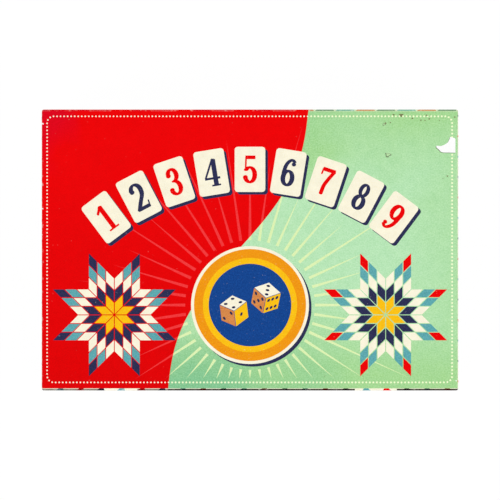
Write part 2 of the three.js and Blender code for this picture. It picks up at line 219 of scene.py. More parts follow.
class GameLook(bpy.types.PropertyGroup):
    """The wooden game inside the carton."""

    wood: colour("Wood", "Light wood of the tray", "ffb806")
    grain: colour("Grain", "Dark lines of the tray's grain", "ee8c04")
    tile_wood: colour("Tile wood", "Light wood of the number tiles", "ffcc10")
    tile_grain: colour("Tile grain", "Dark lines of the number tiles' grain", "f09c08")
    ply: colour("Plywood", "Bottom panel", "dcb277")
    felt: colour("Felt", "Cloth in the well and the bay", "0c4596")
    die: colour("Dice", "Wood of the dice", "f2ae68")
    black: colour("Black", "Numerals and pips", "17130f")
    steel: colour("Steel", "Rod that the tiles turn on", "c4c7ca")
    greyboard: colour("Greyboard", "Bare board of the carton", "a9a296")
    card: colour("White card", "Spacers and bottom sheet", "efece4")
    numeral_height: length("Numeral height", "Height of a tile's numeral", 10.8)
    numeral_breadth: bpy.props.FloatProperty(
        name="Numeral breadth", description="How much broader than on the lid a tile's numeral is",
        default=1.2, min=0.5,
    )
    flat_share: share("Numeral on top", "Share of a tile's length from its back end to the numeral", 0.41)
    raised_share: share("Numeral underneath", "Share of a tile's length from its tip to the numeral", 0.32)
    numeral_relief: length("Numeral relief", "Thickness of the numerals' paint", 0.04)
    die_roundness: length("Die roundness", "Radius of the ball that rounds a die's corners", 11)
    pip_radius: length("Pip radius", "Radius of a pip", 1.5)
    pip_depth: length("Pip depth", "Depth of a pip", 0.7)
    pip_pitch: length("Pip pitch", "Distance between pips", 4.1)
    rod_chamfer: length("Rod chamfer", "Chamfer on the rod's ends", 0.3)
    fibre_length: length("Fibre length", "Length of the felt's loose fibres", 1.1)
    fibres: count("Fibres per square centimetre", "Loose fibres on the felt", 34)


class StageLook(bpy.types.PropertyGroup):
    """The floor, the lamps and the camera."""

    camera_height: length("Camera height", "From the lid's face to the camera", 1200)
    view_width: length("View width", "Width that the camera sees at the lid's face", 254.3)
    floor: colour("Floor", "Colour of the plain floor", "ffffff")
    floor_size: length("Floor size", "Length and width of the floor", 12000)
    shadow_share: share("Shadow", "Share of the floor's real light that the camera sees", 0.04)
    lamp_power: bpy.props.FloatProperty(
        name="Lamp power", description="Power of the largest lamp in watts", default=12.8, min=0
    )
    sky: share("Sky", "Strength of the even light from all round", 0.36)


# Building node trees

class NodeSheet:
    """A node tree under construction."""

    def __init__(self, tree):
        self.tree = tree

    def add(self, kind, inputs=None, **settings):
        """Adds a node, sets it up and feeds its inputs with values or other nodes' outputs."""
        node = self.tree.nodes.new(kind)
        for name, value in settings.items():
            setattr(node, name, value)
        for name, value in (inputs or {}).items():
            self.feed(node.inputs[name], value)
        return node

    def out(self, kind, inputs=None, **settings):
        """The first output of a new node."""
        return self.add(kind, inputs, **settings).outputs[0]

    def feed(self, socket, value):
        """Links an output to a socket, or sets the socket's own value."""
        if isinstance(value, bpy.types.NodeSocket):
            self.tree.links.new(value, socket)
        elif socket.type == "RGBA" and len(value) == 3:
            socket.default_value = (*value, 1)
        else:
            socket.default_value = value

    def calc(self, operation, *values, clamp=False):
        """One sum on numbers."""
        return self.out("ShaderNodeMath", dict(enumerate(values)), operation=operation, use_clamp=clamp)

    # Short names for the sums that are used most
    plus = partialmethod(calc, "ADD")
    minus = partialmethod(calc, "SUBTRACT")
    over = partialmethod(calc, "DIVIDE")
    larger = partialmethod(calc, "MAXIMUM")
    smaller = partialmethod(calc, "MINIMUM")
    above = partialmethod(calc, "GREATER_THAN")
    unsigned = partialmethod(calc, "ABSOLUTE")

    def times(self, first, *others):
        """The product of two or more numbers."""
        for other in others:
            first = self.calc("MULTIPLY", first, other)
        return first

    def vector(self, x=0.0, y=0.0, z=0.0):
        """A vector from three numbers."""
        return self.out("ShaderNodeCombineXYZ", {0: x, 1: y, 2: z})

    def parts(self, vector):
        """The three numbers of a vector."""
        return self.add("ShaderNodeSeparateXYZ", {0: vector}).outputs

    def place(self):
        """The three numbers of a point's place."""
        return self.parts(self.position())

    def grade(self, value, start, end, low=0.0, high=1.0):
        """Goes from low to high as the value goes from start to end."""
        return self.out("ShaderNodeMapRange", {0: value, 1: start, 2: end, 3: low, 4: high})


class Finish(NodeSheet):
    """A material under construction, with its Principled shader."""

    def __init__(self, name, **settings):
        self.material = bpy.data.materials.new(name)
        self.material.use_nodes = True
        super().__init__(self.material.node_tree)
        self.shader = self.tree.nodes["Principled BSDF"]
        self.spot = None
        self.set(**settings)

    def set(self, **settings):
        """Sets or feeds inputs of the shader, named with underscores for spaces."""
        for name, value in settings.items():
            socket_name = name.replace("_", " ").title().replace("Ior", "IOR")
            self.feed(self.shader.inputs[socket_name], value)

    def done(self, **settings):
        """Sets the last of the shader's inputs and returns the material."""
        self.set(**settings)
        return self.material

    def position(self):
        """The point's place in the shared frame, as a vector."""
        if self.spot is None:
            self.spot = self.add("ShaderNodeTexCoord").outputs["Object"]
        return self.spot

    def drawn_out(self, along, across, along_x=True, start=(0, 0, 0)):
        """The place scaled less along x or y than across it, for grain and drawn wire."""
        scale = (along, across, across) if along_x else (across, along, across)
        return self.out("ShaderNodeMapping", {"Vector": self.position(), "Scale": scale, "Location": start})

    def noise(self, per_metre, detail=2.0, place=None, roughness=0.5, distortion=0.0):
        """Soft noise with so many features to the metre."""
        return self.out("ShaderNodeTexNoise", {
            "Vector": place or self.position(),
            "Scale": per_metre,
            "Detail": detail,
            "Roughness": roughness,
            "Distortion": distortion,
        })

    def uneven(self, noise, low=0.0, high=1.0):
        """Goes from low in a noise's usual valleys to high on its hills."""
        return self.grade(noise, NOISE_LOW, NOISE_HIGH, low, high)

    def mix(self, factor, first, second, blend="MIX"):
        """The first colour, going over to the second with the factor."""
        node = self.add("ShaderNodeMix", {0: factor, 6: first, 7: second}, data_type="RGBA", blend_type=blend)
        return node.outputs[2]

    def relief(self, height, depth, strength=1.0, under=None):
        """A bump of the given depth in metres from a height between 0 and 1."""
        inputs = {"Height": height, "Distance": depth, "Strength": strength}
        if under is not None:
            inputs["Normal"] = under
        return self.out("ShaderNodeBump", inputs)


class Recipe(NodeSheet):
    """A Geometry Nodes tree with named inputs, that ends in real faces with their materials."""

    def __init__(self, name, **sizes):
        super().__init__(bpy.data.node_groups.new(name, "GeometryNodeTree"))
        self.name = name
        self.sizes = sizes
        for size_name, value in sizes.items():
            kind = "NodeSocketInt" if isinstance(value, int) else "NodeSocketFloat"
            self.tree.interface.new_socket(size_name, in_out="INPUT", socket_type=kind)
        self.tree.interface.new_socket("Geometry", in_out="OUTPUT", socket_type="NodeSocketGeometry")
        self.inputs = self.tree.nodes.new("NodeGroupInput")

    def __getitem__(self, name):
        """The tree's input of that name."""
        return self.inputs.outputs[name]

    def shape(self, kind, inputs=None, **settings):
        """The first output of a new geometry node."""
        return self.out(f"GeometryNode{kind}", inputs, **settings)

    def position(self):
        """Each point's own place, as a vector."""
        return self.shape("InputPosition")

    def depth(self):
        """How tall the printed shapes are, from their bottom to their top."""
        return self.minus(self["Top"], self["Bottom"])

    def moved(self, shape, **settings):
        """A shape shifted, turned or scaled."""
        inputs = {name.title(): value for name, value in settings.items()}
        return self.shape("Transform", {"Geometry": shape, **inputs})

    def copies(self, points, shape, **settings):
        """A copy of a shape on each point."""
        inputs = {name.title(): value for name, value in settings.items()}
        return self.shape("InstanceOnPoints", {"Points": points, "Instance": shape, **inputs})

    def printed(self, shape, x=0.0, y=0.0):
        """Flat shapes moved to their place on the lid, between their layer's bottom and top."""
        middle = self.over(self.plus(self["Top"], self["Bottom"]), 2.0)
        return self.moved(shape, translation=self.vector(x, y, middle))

    def make(self, shape, materials):
        """Runs the tree once and returns the plain mesh, with each material where its choice says."""
        shape = self.shape("RealizeInstances", {"Geometry": shape})
        for material, chosen in materials:
            inputs = {"Geometry": shape, "Material": material}
            if chosen is not None:
                inputs["Selection"] = chosen
            shape = self.shape("SetMaterial", inputs)
        output = self.tree.nodes.new("NodeGroupOutput")
        self.tree.links.new(shape, output.inputs[0])
        carrier = add_object(self.name, bpy.data.meshes.new(self.name))
        modifier = carrier.modifiers.new(self.name, "NODES")
        modifier.node_group = self.tree
        for item in self.tree.interface.items_tree:
            if item.in_out == "INPUT":
                modifier[item.identifier] = self.sizes[item.name]
        mesh = plain_mesh(carrier)
        bpy.data.objects.remove(carrier)
        mesh.name = self.name
        return mesh


# Making pieces

def add_object(name, data):
    """A new object in the scene."""
    thing = bpy.data.objects.new(name, data)
    bpy.context.scene.collection.objects.link(thing)
    return thing


def plain_mesh(thing):
    """An object's mesh as its modifiers leave it."""
    graph = bpy.context.evaluated_depsgraph_get()
    return bpy.data.meshes.new_from_object(thing.evaluated_get(graph))


def finished(shape, name):
    """A plain mesh from an edited one."""
    mesh = bpy.data.meshes.new(name)
    shape.to_mesh(mesh)
    shape.free()
    return mesh


def hang(name, mesh, body, slot, *materials):
    """Adds a finished mesh to the scene and lets it move with its CAD body."""
    if not mesh.polygons:
        raise RuntimeError(f"{name} came out empty")
    piece = add_object(name, mesh)
    for material in materials:
        mesh.materials.append(material)
    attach(piece, body)
    return piece


def dress(node_name, material):
    """Gives a CAD piece that stays as it is a better material."""
    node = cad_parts[node_name]
    for material_slot in node.material_slots:
        material_slot.material = material


def shift(x, y, z=0.0):
    """A move without a turn."""
    return Matrix.Translation((x, y, z))


def turned(angle, axis="Z"):
    """A turn about an axis, in radians."""
    return Matrix.Rotation(angle, 4, axis)


def arc(centre_x, centre_y, radius_x, radius_y, start, end, steps):
    """Points of an elliptical arc, with its angles in degrees."""
    turns = [math.radians(start + (end - start) * step / steps) for step in range(steps + 1)]
    return [(centre_x + radius_x * math.cos(turn), centre_y + radius_y * math.sin(turn)) for turn in turns]


def circle_outline(radius, steps=64):
    """Points of a circle, anticlockwise."""
    return arc(0, 0, radius, radius, 0, 360, steps)[:-1]


def rounded_outline(half_x, half_y, radius, steps=CORNER_STEPS):
    """Corner points of a rounded rectangle, anticlockwise from the end of its front side."""
    outline = []
    for quarter, (side_x, side_y) in enumerate(((1, -1), (1, 1), (-1, 1), (-1, -1))):
        centre = (side_x * (half_x - radius), side_y * (half_y - radius))
        outline += arc(*centre, radius, radius, 90 * quarter - 90, 90 * quarter, steps)
    return outline


def running_lengths(points):
    """How far along a line each of its points lies."""
    lengths = [0.0]
    for first, second in zip(points, points[1:]):
        lengths.append(lengths[-1] + math.dist(first, second))
    return lengths


def sheet_mesh(name, half_x, half_y, rings, look, has_top):
    """A sheet of paper through rings, each an inset, a height and a corner radius.

    It ends in a top and its underside, or goes all round back to its first ring.
    Its UV map counts diamonds: round the walls, and down from the first ring.
    """
    shape = bmesh.new()
    uv = shape.loops.layers.uv.new("sheet")
    loops = []
    for inset, height, radius in rings:
        outline = rounded_outline(half_x - inset, half_y - inset, radius)
        loops.append([shape.verts.new((x, y, height)) for x, y in outline])
    if has_top:
        shape.faces.new(loops[0])
        shape.faces.new(list(reversed(loops[-1])))
    else:
        rings = [*rings, rings[0]]
        loops.append(loops[0])
    outline = rounded_outline(half_x, half_y, max(radius for _, _, radius in rings))
    around = running_lengths(outline + outline[:1])
    down = running_lengths([(inset, height) for inset, height, _ in rings])
    for ring in range(len(rings) - 1):
        for start in range(len(outline)):
            end = (start + 1) % len(outline)
            corner, step = divmod(start, CORNER_STEPS + 1)
            side = corner if step >= CORNER_STEPS / 2 else corner - 1
            lap = 1 if side < 0 else 0
            way, offset = WALL_RUNS[side]
            face = shape.faces.new((
                loops[ring][start], loops[ring + 1][start], loops[ring + 1][end], loops[ring][end],
            ))
            face.smooth = True
            spots = ((start, ring), (start, ring + 1), (start + 1, ring + 1), (start + 1, ring))
            for loop, (column, row) in zip(face.loops, spots):
                u = (around[column] / around[-1] + lap) * look.diamonds_round
                loop[uv].uv = (way * u + offset, down[row] / look.diamond_height + WALL_PHASES[side])
    return finished(shape, name)


def add_sides(shape, lower, upper):
    """Adds faces between two rings of corners, and returns them."""
    faces = []
    for start in range(len(lower)):
        end = (start + 1) % len(lower)
        faces.append(shape.faces.new((lower[start], lower[end], upper[end], upper[start])))
    return faces


def add_prism(shape, outline, low, high, place, material):
    """Adds a flat closed shape on an anticlockwise outline, between two heights."""
    floor = [shape.verts.new(place @ Vector((x, y, low))) for x, y in outline]
    roof = [shape.verts.new(place @ Vector((x, y, high))) for x, y in outline]
    faces = [shape.faces.new(list(reversed(floor))), shape.faces.new(roof)]
    for face in faces + add_sides(shape, floor, roof):
        face.material_index = material


def add_net(shape, points, triangles, low, high, place, material):
    """Adds a flat closed shape on a net of anticlockwise triangles, between two heights."""
    used = sorted({corner for triangle in triangles for corner in triangle})
    floor = {corner: shape.verts.new(place @ Vector((*points[corner], low))) for corner in used}
    roof = {corner: shape.verts.new(place @ Vector((*points[corner], high))) for corner in used}
    sides = {(a, b) for t in triangles for a, b in zip(t, t[1:] + t[:1])}
    faces = []
    for triangle in triangles:
        faces.append(shape.faces.new([roof[corner] for corner in triangle]))
        faces.append(shape.faces.new([floor[corner] for corner in reversed(triangle)]))
    for a, b in sides:
        if (b, a) not in sides:
            faces.append(shape.faces.new((floor[a], floor[b], roof[b], roof[a])))
    for face in faces:
        face.material_index = material


def add_inked(shape, outline, layer, place, material):
    """Adds a flat printed shape that reaches the top of a layer."""
    add_prism(shape, outline, -INK_SINK, layer * INK_STEP, place, material)


def ring_net(inner, outer, steps=72):
    """Points and triangles of a flat ring."""
    points = circle_outline(inner, steps) + circle_outline(outer, steps)
    triangles = []
    for start in range(steps):
        end = (start + 1) % steps
        triangles.append([start, steps + start, steps + end])
        triangles.append([start, steps + end, end])
    return points, triangles


# Numerals: a broad pen drawn along each figure's skeleton, on a figure one unit high

PEN_HALF_WIDTH = 0.085
PEN_HALF_HEIGHT = 0.042
BALL_RADIUS = 0.088
SERIF_HALF_HEIGHT = 0.03


def smooth_line(*knots, steps=5):
    """A smooth line through knots."""
    ends = [knots[0], *knots, knots[-1]]
    line = []
    for near in zip(ends, ends[1:], ends[2:], ends[3:]):
        for step in range(steps):
            t = step / steps
            weights = (
                (-t + 2 * t * t - t ** 3) / 2,
                (2 - 5 * t * t + 3 * t ** 3) / 2,
                (t + 4 * t * t - 3 * t ** 3) / 2,
                (t ** 3 - t * t) / 2,
            )
            line.append(tuple(sum(w * knot[axis] for w, knot in zip(weights, near)) for axis in (0, 1)))
    return line + [knots[-1]]


def pen_stroke(points, half_width=PEN_HALF_WIDTH, half_height=PEN_HALF_HEIGHT, steps=12):
    """Convex pieces of the line that an oval pen leaves along the points."""
    ovals = [arc(x, y, half_width, half_height, 0, 360 - 360 / steps, steps - 1) for x, y in points]
    pieces = []
    for first, second in zip(ovals, ovals[1:] or ovals):
        corners = [Vector(corner) for corner in first + second]
        pieces.append([corners[index] for index in geometry.convex_hull_2d(corners)])
    return pieces


def ball(x, y, radius=BALL_RADIUS):
    """The round end of a stroke."""
    return pen_stroke([(x, y)], radius, radius * 0.9, 16)


def slab(left, right, y, half_height=SERIF_HALF_HEIGHT):
    """A level bar or serif."""
    low, high = y - half_height, y + half_height
    return [[Vector(corner) for corner in ((left, low), (right, low), (right, high), (left, high))]]


def numeral_strokes(number):
    """Convex pieces that make up one numeral."""
    low, high = PEN_HALF_HEIGHT, 1 - PEN_HALF_HEIGHT
    if number == 1:
        return (
            pen_stroke([(0.32, 0.05), (0.32, 0.93)])
            + pen_stroke([(0.32, 0.93), (0.13, 0.76)], 0.045, 0.05)
            + slab(0.12, 0.52, SERIF_HALF_HEIGHT)
        )
    if number == 2:
        top = arc(0.29, 0.73, 0.17, high - 0.73, 165, -10, 12)
        tail = smooth_line(top[-1], (0.42, 0.52), (0.26, 0.3), (0.1, 0.06))
        return (
            pen_stroke(top) + pen_stroke(tail) + ball(0.14, 0.74)
            + slab(0.05, 0.53, 0.065, 0.065) + pen_stroke([(0.51, 0.1), (0.53, 0.24)], 0.025, 0.02)
        )
    if number == 3:
        upper = arc(0.28, 0.74, 0.145, high - 0.74, 160, -90, 14)
        lower = arc(0.27, 0.28, 0.17, 0.28 - low, 90, -155, 16)
        return pen_stroke(upper) + pen_stroke(lower) + ball(0.14, 0.75) + ball(0.12, 0.23)
    if number == 4:
        return (
            pen_stroke([(0.41, 0.94), (0.41, 0.04)])
            + pen_stroke([(0.38, 0.96), (0.06, 0.31)], 0.035, 0.03)
            + slab(0.03, 0.58, 0.285, 0.04) + slab(0.25, 0.57, SERIF_HALF_HEIGHT)
        )
    if number == 5:
        bowl = arc(0.28, 0.31, 0.175, 0.31 - low, 140, -155, 18)
        return (
            pen_stroke(bowl) + slab(0.12, 0.48, 0.93, 0.065) + ball(0.12, 0.22)
            + pen_stroke([(0.145, 0.93), (0.13, 0.5)], 0.03, 0.03)
        )
    if number == 6:
        bowl = arc(0.3, 0.3, 0.165, 0.3 - low, 0, 360, 22)
        spine = smooth_line((0.135, 0.3), (0.14, 0.52), (0.19, 0.76), (0.29, 0.91), (0.39, high), (0.46, 0.9))
        return pen_stroke(bowl) + pen_stroke(spine, 0.07) + ball(0.45, 0.81, 0.078)
    if number == 7:
        leg = smooth_line((0.5, 0.9), (0.38, 0.62), (0.29, 0.35), (0.27, 0.05))
        return (
            pen_stroke(leg, 0.07) + slab(0.09, 0.55, 0.92, 0.07)
            + pen_stroke([(0.1, 0.93), (0.09, 0.74)], 0.03, 0.03)
        )
    if number == 8:
        upper = arc(0.3, 0.745, 0.125, high - 0.745, 0, 360, 20)
        lower = arc(0.3, 0.28, 0.16, 0.28 - low, 0, 360, 22)
        return pen_stroke(upper, 0.07) + pen_stroke(lower)
    # A nine is a six turned half round about its middle
    middle_x = 0.29
    turned_six = numeral_strokes(6)
    return [[Vector((2 * middle_x - corner.x, 1 - corner.y)) for corner in piece] for piece in turned_six]


def numeral_net(number):
    """Points and triangles of one numeral, one unit high and centred on its own middle."""
    points, faces = [], []
    for piece in numeral_strokes(number):
        faces.append(list(range(len(points), len(points) + len(piece))))
        points.extend(piece)
    corners, _, triangles, _, _, origins = geometry.delaunay_2d_cdt(points, [], faces, 0, 1e-5)
    inside = [list(triangle) for triangle, origin in zip(triangles, origins) if origin]
    across = [corners[corner].x for triangle in inside for corner in triangle]
    middle = Vector(((min(across) + max(across)) / 2, 0.5))
    return [tuple(corner - middle) for corner in corners], inside


NUMERAL_NETS = {number: numeral_net(number) for number in TILE_NUMBERS}


def add_numeral(shape, number, height, low, high, place, material, breadth=1.0):
    """Adds a numeral of that height about its own middle, between two heights."""
    points, triangles = NUMERAL_NETS[number]
    enlarged = [(x * height * breadth, y * height) for x, y in points]
    add_net(shape, enlarged, triangles, low, high, place, material)


# Finishes

def harlequin(finish, look, across, down):
    """Diamonds in three colours in turn on cream, and 1 where they are cream."""
    rising = finish.calc("FLOOR", finish.plus(across, down))
    falling = finish.calc("FLOOR", finish.minus(across, down))
    total = finish.plus(rising, falling)
    pale = finish.calc("FLOORED_MODULO", total, 2.0)
    turn = finish.calc("FLOORED_MODULO", finish.times(total, 0.5), 3.0)
    dark = finish.mix(finish.above(turn, 0.75), look.red, look.navy)
    coloured = finish.mix(finish.above(turn, 1.75), dark, look.teal)
    return finish.mix(pale, coloured, look.cream), pale


def edge_nearness(finish, half_x, half_y, top, reach):
    """1 on the carton's folded edges and corners, going to 0 at the reach from them."""
    x, y, z = finish.place()
    across = finish.minus(half_x, finish.unsigned(x))
    along = finish.minus(half_y, finish.unsigned(y))
    down = finish.minus(top, z)
    nearer = finish.smaller(across, along)
    further = finish.larger(across, along)
    return finish.grade(finish.larger(nearer, finish.smaller(further, down)), reach, 0.0)


def beyond_seam(sheet, x, y):
    """How far to the right a place lies of the long S between the lid's two fields."""
    bow = sheet.calc("SINE", sheet.times(y, math.pi / CAD_HIGH.y))
    seam = sheet.plus(sheet.times(y, SEAM_SLANT), sheet.times(bow, SEAM_BOW))
    return sheet.minus(sheet.plus(x, SEAM_LEFT), seam)


def mint_side(finish):
    """1 on the mint field of the lid and 0 on the red one."""
    x, y, _ = finish.place()
    return finish.grade(beyond_seam(finish, x, y), -INK_BLUR, INK_BLUR)


def grained(finish, printed):
    """The print with the paper's fine grain in it, lighter and darker."""
    return finish.mix(1.0, printed, finish.uneven(finish.noise(1500, 2), 0.36, 0.66), "SOFT_LIGHT")


def paper_feel(finish):
    """How rough the printed paper is to the light, and its tooth."""
    roughness = finish.uneven(finish.noise(60, 3), 0.42, 0.56)
    return roughness, finish.relief(finish.noise(3200, 2), 0.03 * MM, 0.35)


def field_colours(finish, look):
    """The lid's ground: mottled red on one side and mottled mint on the other."""
    x, y, _ = finish.place()
    clouds = finish.noise(26, 3)
    blotches = finish.noise(210, 4, roughness=0.6)
    sway = finish.uneven(clouds, -0.12, 0.12)
    outward = finish.plus(finish.over(x, CAD_HIGH.x), sway)
    upward = finish.plus(finish.over(y, CAD_HIGH.y), sway)
    from_middle = finish.unsigned(upward)
    frontward = finish.grade(upward, 0.8, -0.9, 0.0, 0.6)
    depth = finish.plus(finish.grade(blotches, 0.35, 0.75, 0.0, 0.3), frontward, clamp=True)
    corner = finish.times(finish.grade(outward, -0.85, -1.0), finish.grade(upward, 0.5, 0.9))
    red = finish.mix(corner, finish.mix(depth, look.red, look.deep_red), look.crimson)
    long_sides = finish.grade(from_middle, 0.35, 0.9, 0.0, 0.95)
    edges = finish.larger(long_sides, finish.grade(outward, 0.6, 0.95, 0.0, 0.5))
    warmth = finish.plus(finish.grade(clouds, 0.45, 0.7, 0.0, 0.3), edges, clamp=True)
    mint = finish.mix(warmth, look.mint, look.warm_mint)
    at_ends = finish.grade(from_middle, 0.55, 0.9)
    inner_end = finish.times(
        finish.grade(outward, 0.45, -0.15), at_ends, finish.grade(upward, 0.6, -0.6, 0.45, 1.0)
    )
    depth = finish.plus(finish.grade(blotches, 0.3, 0.75, 0.0, 0.2), inner_end, clamp=True)
    mint = finish.mix(depth, mint, look.deep_mint)
    return finish.mix(mint_side(finish), red, mint)


def paper_surface(finish, look, printed, half_x, half_y, top):
    """Rubs the folded edges, speckles the print and gives the paper its tooth and varnish."""
    rubbed_width = 1.1 * MM
    near = edge_nearness(finish, half_x, half_y, top, rubbed_width)
    rub = finish.grade(finish.noise(420, 5, roughness=0.65), 0.62 - 0.25 * look.wear, 0.72)
    speck = finish.grade(finish.noise(700, 3), 0.73, 0.78, 0.0, 0.1)
    printed = finish.mix(speck, grained(finish, printed), look.worn)
    printed = finish.mix(finish.times(near, rub), printed, look.worn)
    roughness, tooth = paper_feel(finish)
    waves = finish.relief(finish.noise(22, 1), 0.9 * MM, 0.10, tooth)
    return finish.done(
        base_color=printed, roughness=roughness, normal=waves, specular_ior_level=look.sheen
    )


def painted_front_shade(finish, x, y, pale, mint):
    """Painted shade between the pale diamonds on the front edge, but for the lit stretches."""
    solid_from = 0.9 * MM - CAD_HIGH.y
    half_blur = 0.05 * MM
    outermost = finish.grade(y, solid_from + half_blur, solid_from - half_blur)
    shaded = finish.larger(outermost, finish.minus(1.0, pale))
    # The painted shade, deeper on the mint field than on the red
    dirt = finish.times(shaded, finish.grade(mint, 0.0, 1.0, 0.75, 0.96))
    for middle, half_length in LIT_STRETCHES:
        from_middle = finish.unsigned(finish.minus(x, middle * MM))
        outside = finish.grade(from_middle, half_length * MM, (half_length + 0.3) * MM)
        dirt = finish.times(dirt, outside)
    return dirt


def lid_paper(look):
    """Two fields of colour on the lid's top, with diamonds on its walls and round its edges."""
    finish = Finish("lid_paper")
    x, y, z = finish.place()
    across, down, _ = finish.parts(finish.out("ShaderNodeUVMap", uv_map="sheet"))
    walls, pale = harlequin(finish, look, across, down)
    fields = field_colours(finish, look)
    right, back = CAD_HIGH.x - look.right_margin, CAD_HIGH.y - look.back_margin
    front = look.front_margin - CAD_HIGH.y
    on_top = finish.above(z, PAPER_TOP - look.fold_radius / 2)
    for place, edge, inward in ((x, right, -INK_BLUR), (y, back, -INK_BLUR), (y, front, INK_BLUR)):
        on_top = finish.times(on_top, finish.grade(place, edge, edge + inward))
    on_fold = finish.above(z, PAPER_TOP - look.fold_radius)
    mint = mint_side(finish)
    overprint = finish.times(on_fold, finish.above(y, back), finish.grade(mint, 0.0, 1.0, 0.93, 0.5))
    walls = finish.mix(overprint, walls, fields)
    # A pale line just inside the back fold, on the mint field only, is a painted highlight of the fold
    highlight_inset, highlight_half_width = 0.2 * MM, 0.22 * MM
    from_highlight = finish.unsigned(finish.minus(y, back - highlight_inset))
    fold_highlight = finish.times(finish.grade(from_highlight, highlight_half_width, 0.0, 0.0, 0.4), mint)
    fields = finish.mix(fold_highlight, fields, look.cream)
    # Painted shade on the front fold, with its lit stretches
    at_front = finish.times(on_fold, finish.calc("LESS_THAN", y, front))
    dirt = finish.times(at_front, painted_front_shade(finish, x, y, pale, mint))
    printed = finish.mix(on_top, finish.mix(dirt, walls, look.front_shade), fields)
    return paper_surface(finish, look, printed, CAD_HIGH.x, CAD_HIGH.y, PAPER_TOP)


def base_paper(look, half_x, half_y, top):
    """Plain mottled mint paper on the base."""
    finish = Finish("base_paper")
    clouds = finish.grade(finish.noise(26, 3), 0.35, 0.7, 0.25, 0.65)
    mint = finish.mix(clouds, look.mint, look.warm_mint)
    blotches = finish.grade(finish.noise(210, 4), 0.3, 0.75, 0.0, 0.16)
    printed = finish.mix(blotches, mint, look.deep_mint)
    return paper_surface(finish, look, printed, half_x, half_y, top)


def printed_ink(name, tint, paper, speckle):
    """Flat ink, a little uneven and rubbed to specks of pale paper."""
    finish = Finish(name, specular_ior_level=paper.sheen)
    cloud = finish.uneven(finish.noise(240, 4), 0.0, 0.10)
    clouded = finish.mix(cloud, tint, ink("9a9284"), "MULTIPLY")
    speck = finish.grade(finish.noise(900, 4, roughness=0.7), 0.655, 0.70, 0.0, speckle)
    roughness, tooth = paper_feel(finish)
    base = finish.mix(speck, grained(finish, clouded), paper.worn)
    return finish.done(base_color=base, roughness=roughness, normal=tooth)


def two_field_ink(name, on_red, on_mint, rubbed, paper):
    """Ink with one colour on the red field and one on the mint, rubbed through here and there."""
    finish = Finish(name, specular_ior_level=paper.sheen)
    tint = finish.mix(mint_side(finish), on_red, on_mint)
    patch = finish.grade(finish.noise(700, 4, roughness=0.7), 0.6, 0.7, 0.0, rubbed)
    roughness, tooth = paper_feel(finish)
    base = grained(finish, finish.mix(patch, tint, field_colours(finish, paper)))
    return finish.done(base_color=base, roughness=roughness, normal=tooth)


def torn_paper(name, tint):
    """Bare fibre where the print has come off with its top layer."""
    finish = Finish(name)
    fluff = finish.noise(1300, 5, roughness=0.7)
    return finish.done(
        base_color=finish.mix(finish.grade(fluff, 0.45, 0.85, 0.0, 0.2), tint, ink("cfc8ba")),
        roughness=finish.uneven(fluff, 0.75, 0.95),
        normal=finish.relief(fluff, 0.05 * MM, 0.3),
    )


def board(name, tint, flecks, speckle=0.5):
    """Pressed board or card: fine fibres and scattered flecks."""
    finish = Finish(name)
    fibre = finish.noise(900, 5, roughness=0.65, place=finish.drawn_out(0.35, 1))
    fleck = finish.grade(finish.noise(1500, 2), 0.66, 0.72, 0.0, speckle)
    cloud = finish.uneven(finish.noise(60, 3), 0.0, 0.2)
    base = finish.mix(cloud, tint, toned(tint, 0.8))
    base = finish.mix(finish.uneven(fibre, 0.0, 0.25), base, toned(tint, 0.72))
    return finish.done(
        base_color=finish.mix(fleck, base, flecks),
        roughness=finish.uneven(fibre, 0.78, 0.95),
        normal=finish.relief(fibre, 0.05 * MM, 0.4),
    )


def wood(name, light, dark, along_x, seed, varnish=0.06, contrast=1.0):
    """Varnished straight-grained wood: growth lines and short pores along one direction."""
    finish = Finish(name, coat_weight=varnish, coat_roughness=0.2, specular_ior_level=0.08)
    cut_from = tuple(seed * step for step in CUT_STEP)
    growth = finish.noise(9, 4, finish.drawn_out(2.5, 60, along_x, cut_from), 0.6, 0.4)
    drift = finish.noise(3, 2, finish.drawn_out(9, 16, along_x, cut_from))
    pores = finish.noise(60, 2, finish.drawn_out(1.3, 30, along_x, cut_from))
    bands = finish.add("ShaderNodeTexWave", {
        "Vector": finish.drawn_out(0.9, 26, along_x, cut_from),
        "Scale": 4.2,
        "Distortion": 5.5,
        "Detail": 2.5,
        "Detail Scale": 1.2,
    }, wave_type="BANDS", bands_direction="Y" if along_x else "X", wave_profile="SAW").outputs[1]
    base = finish.mix(finish.grade(growth, 0.3, 0.72, 0.0, 0.75 * contrast), light, dark)
    base = finish.mix(finish.grade(bands, 0.55, 1.0, 0.0, 0.42 * contrast), base, dark)
    base = finish.mix(finish.grade(drift, 0.35, 0.7, 0.0, 0.3), base, toned(light, 1.12))
    base = finish.mix(finish.grade(pores, 0.64, 0.7, 0.0, 0.5), base, toned(dark, 0.55))
    return finish.done(
        base_color=base,
        roughness=finish.uneven(growth, 0.36, 0.5),
        normal=finish.relief(finish.plus(growth, pores), 0.08 * MM, 0.3),
    )


def felt_cloth(look):
    """Pressed wool felt: matted fibres, a soft sheen and small clouds of nap."""
    finish = Finish("felt", sheen_weight=0.06, sheen_roughness=0.4, specular_ior_level=0.05)
    matt = finish.noise(1500, 6, roughness=0.7, distortion=1.2)
    nap = finish.noise(160, 3)
    pale = tuple(min(1, channel * 1.35 + 0.01) for channel in look.felt)
    base = finish.mix(finish.uneven(matt), toned(look.felt, 0.62), look.felt)
    return finish.done(
        base_color=finish.mix(finish.grade(nap, 0.4, 0.75, 0.0, 0.5), base, pale),
        roughness=finish.uneven(matt, 0.85, 1.0),
        normal=finish.relief(matt, 0.2 * MM, 0.6),
    )


def brushed_steel(look):
    """Drawn steel wire, with faint marks along its length."""
    finish = Finish("rod_steel", metallic=1.0)
    draw = finish.noise(300, 4, finish.drawn_out(0.05, 6), 0.6)
    return finish.done(
        base_color=finish.mix(finish.uneven(draw), look.steel, toned(look.steel, 0.75)),
        roughness=finish.uneven(draw, 0.22, 0.38),
        normal=finish.relief(draw, 0.01 * MM, 0.3),
    )


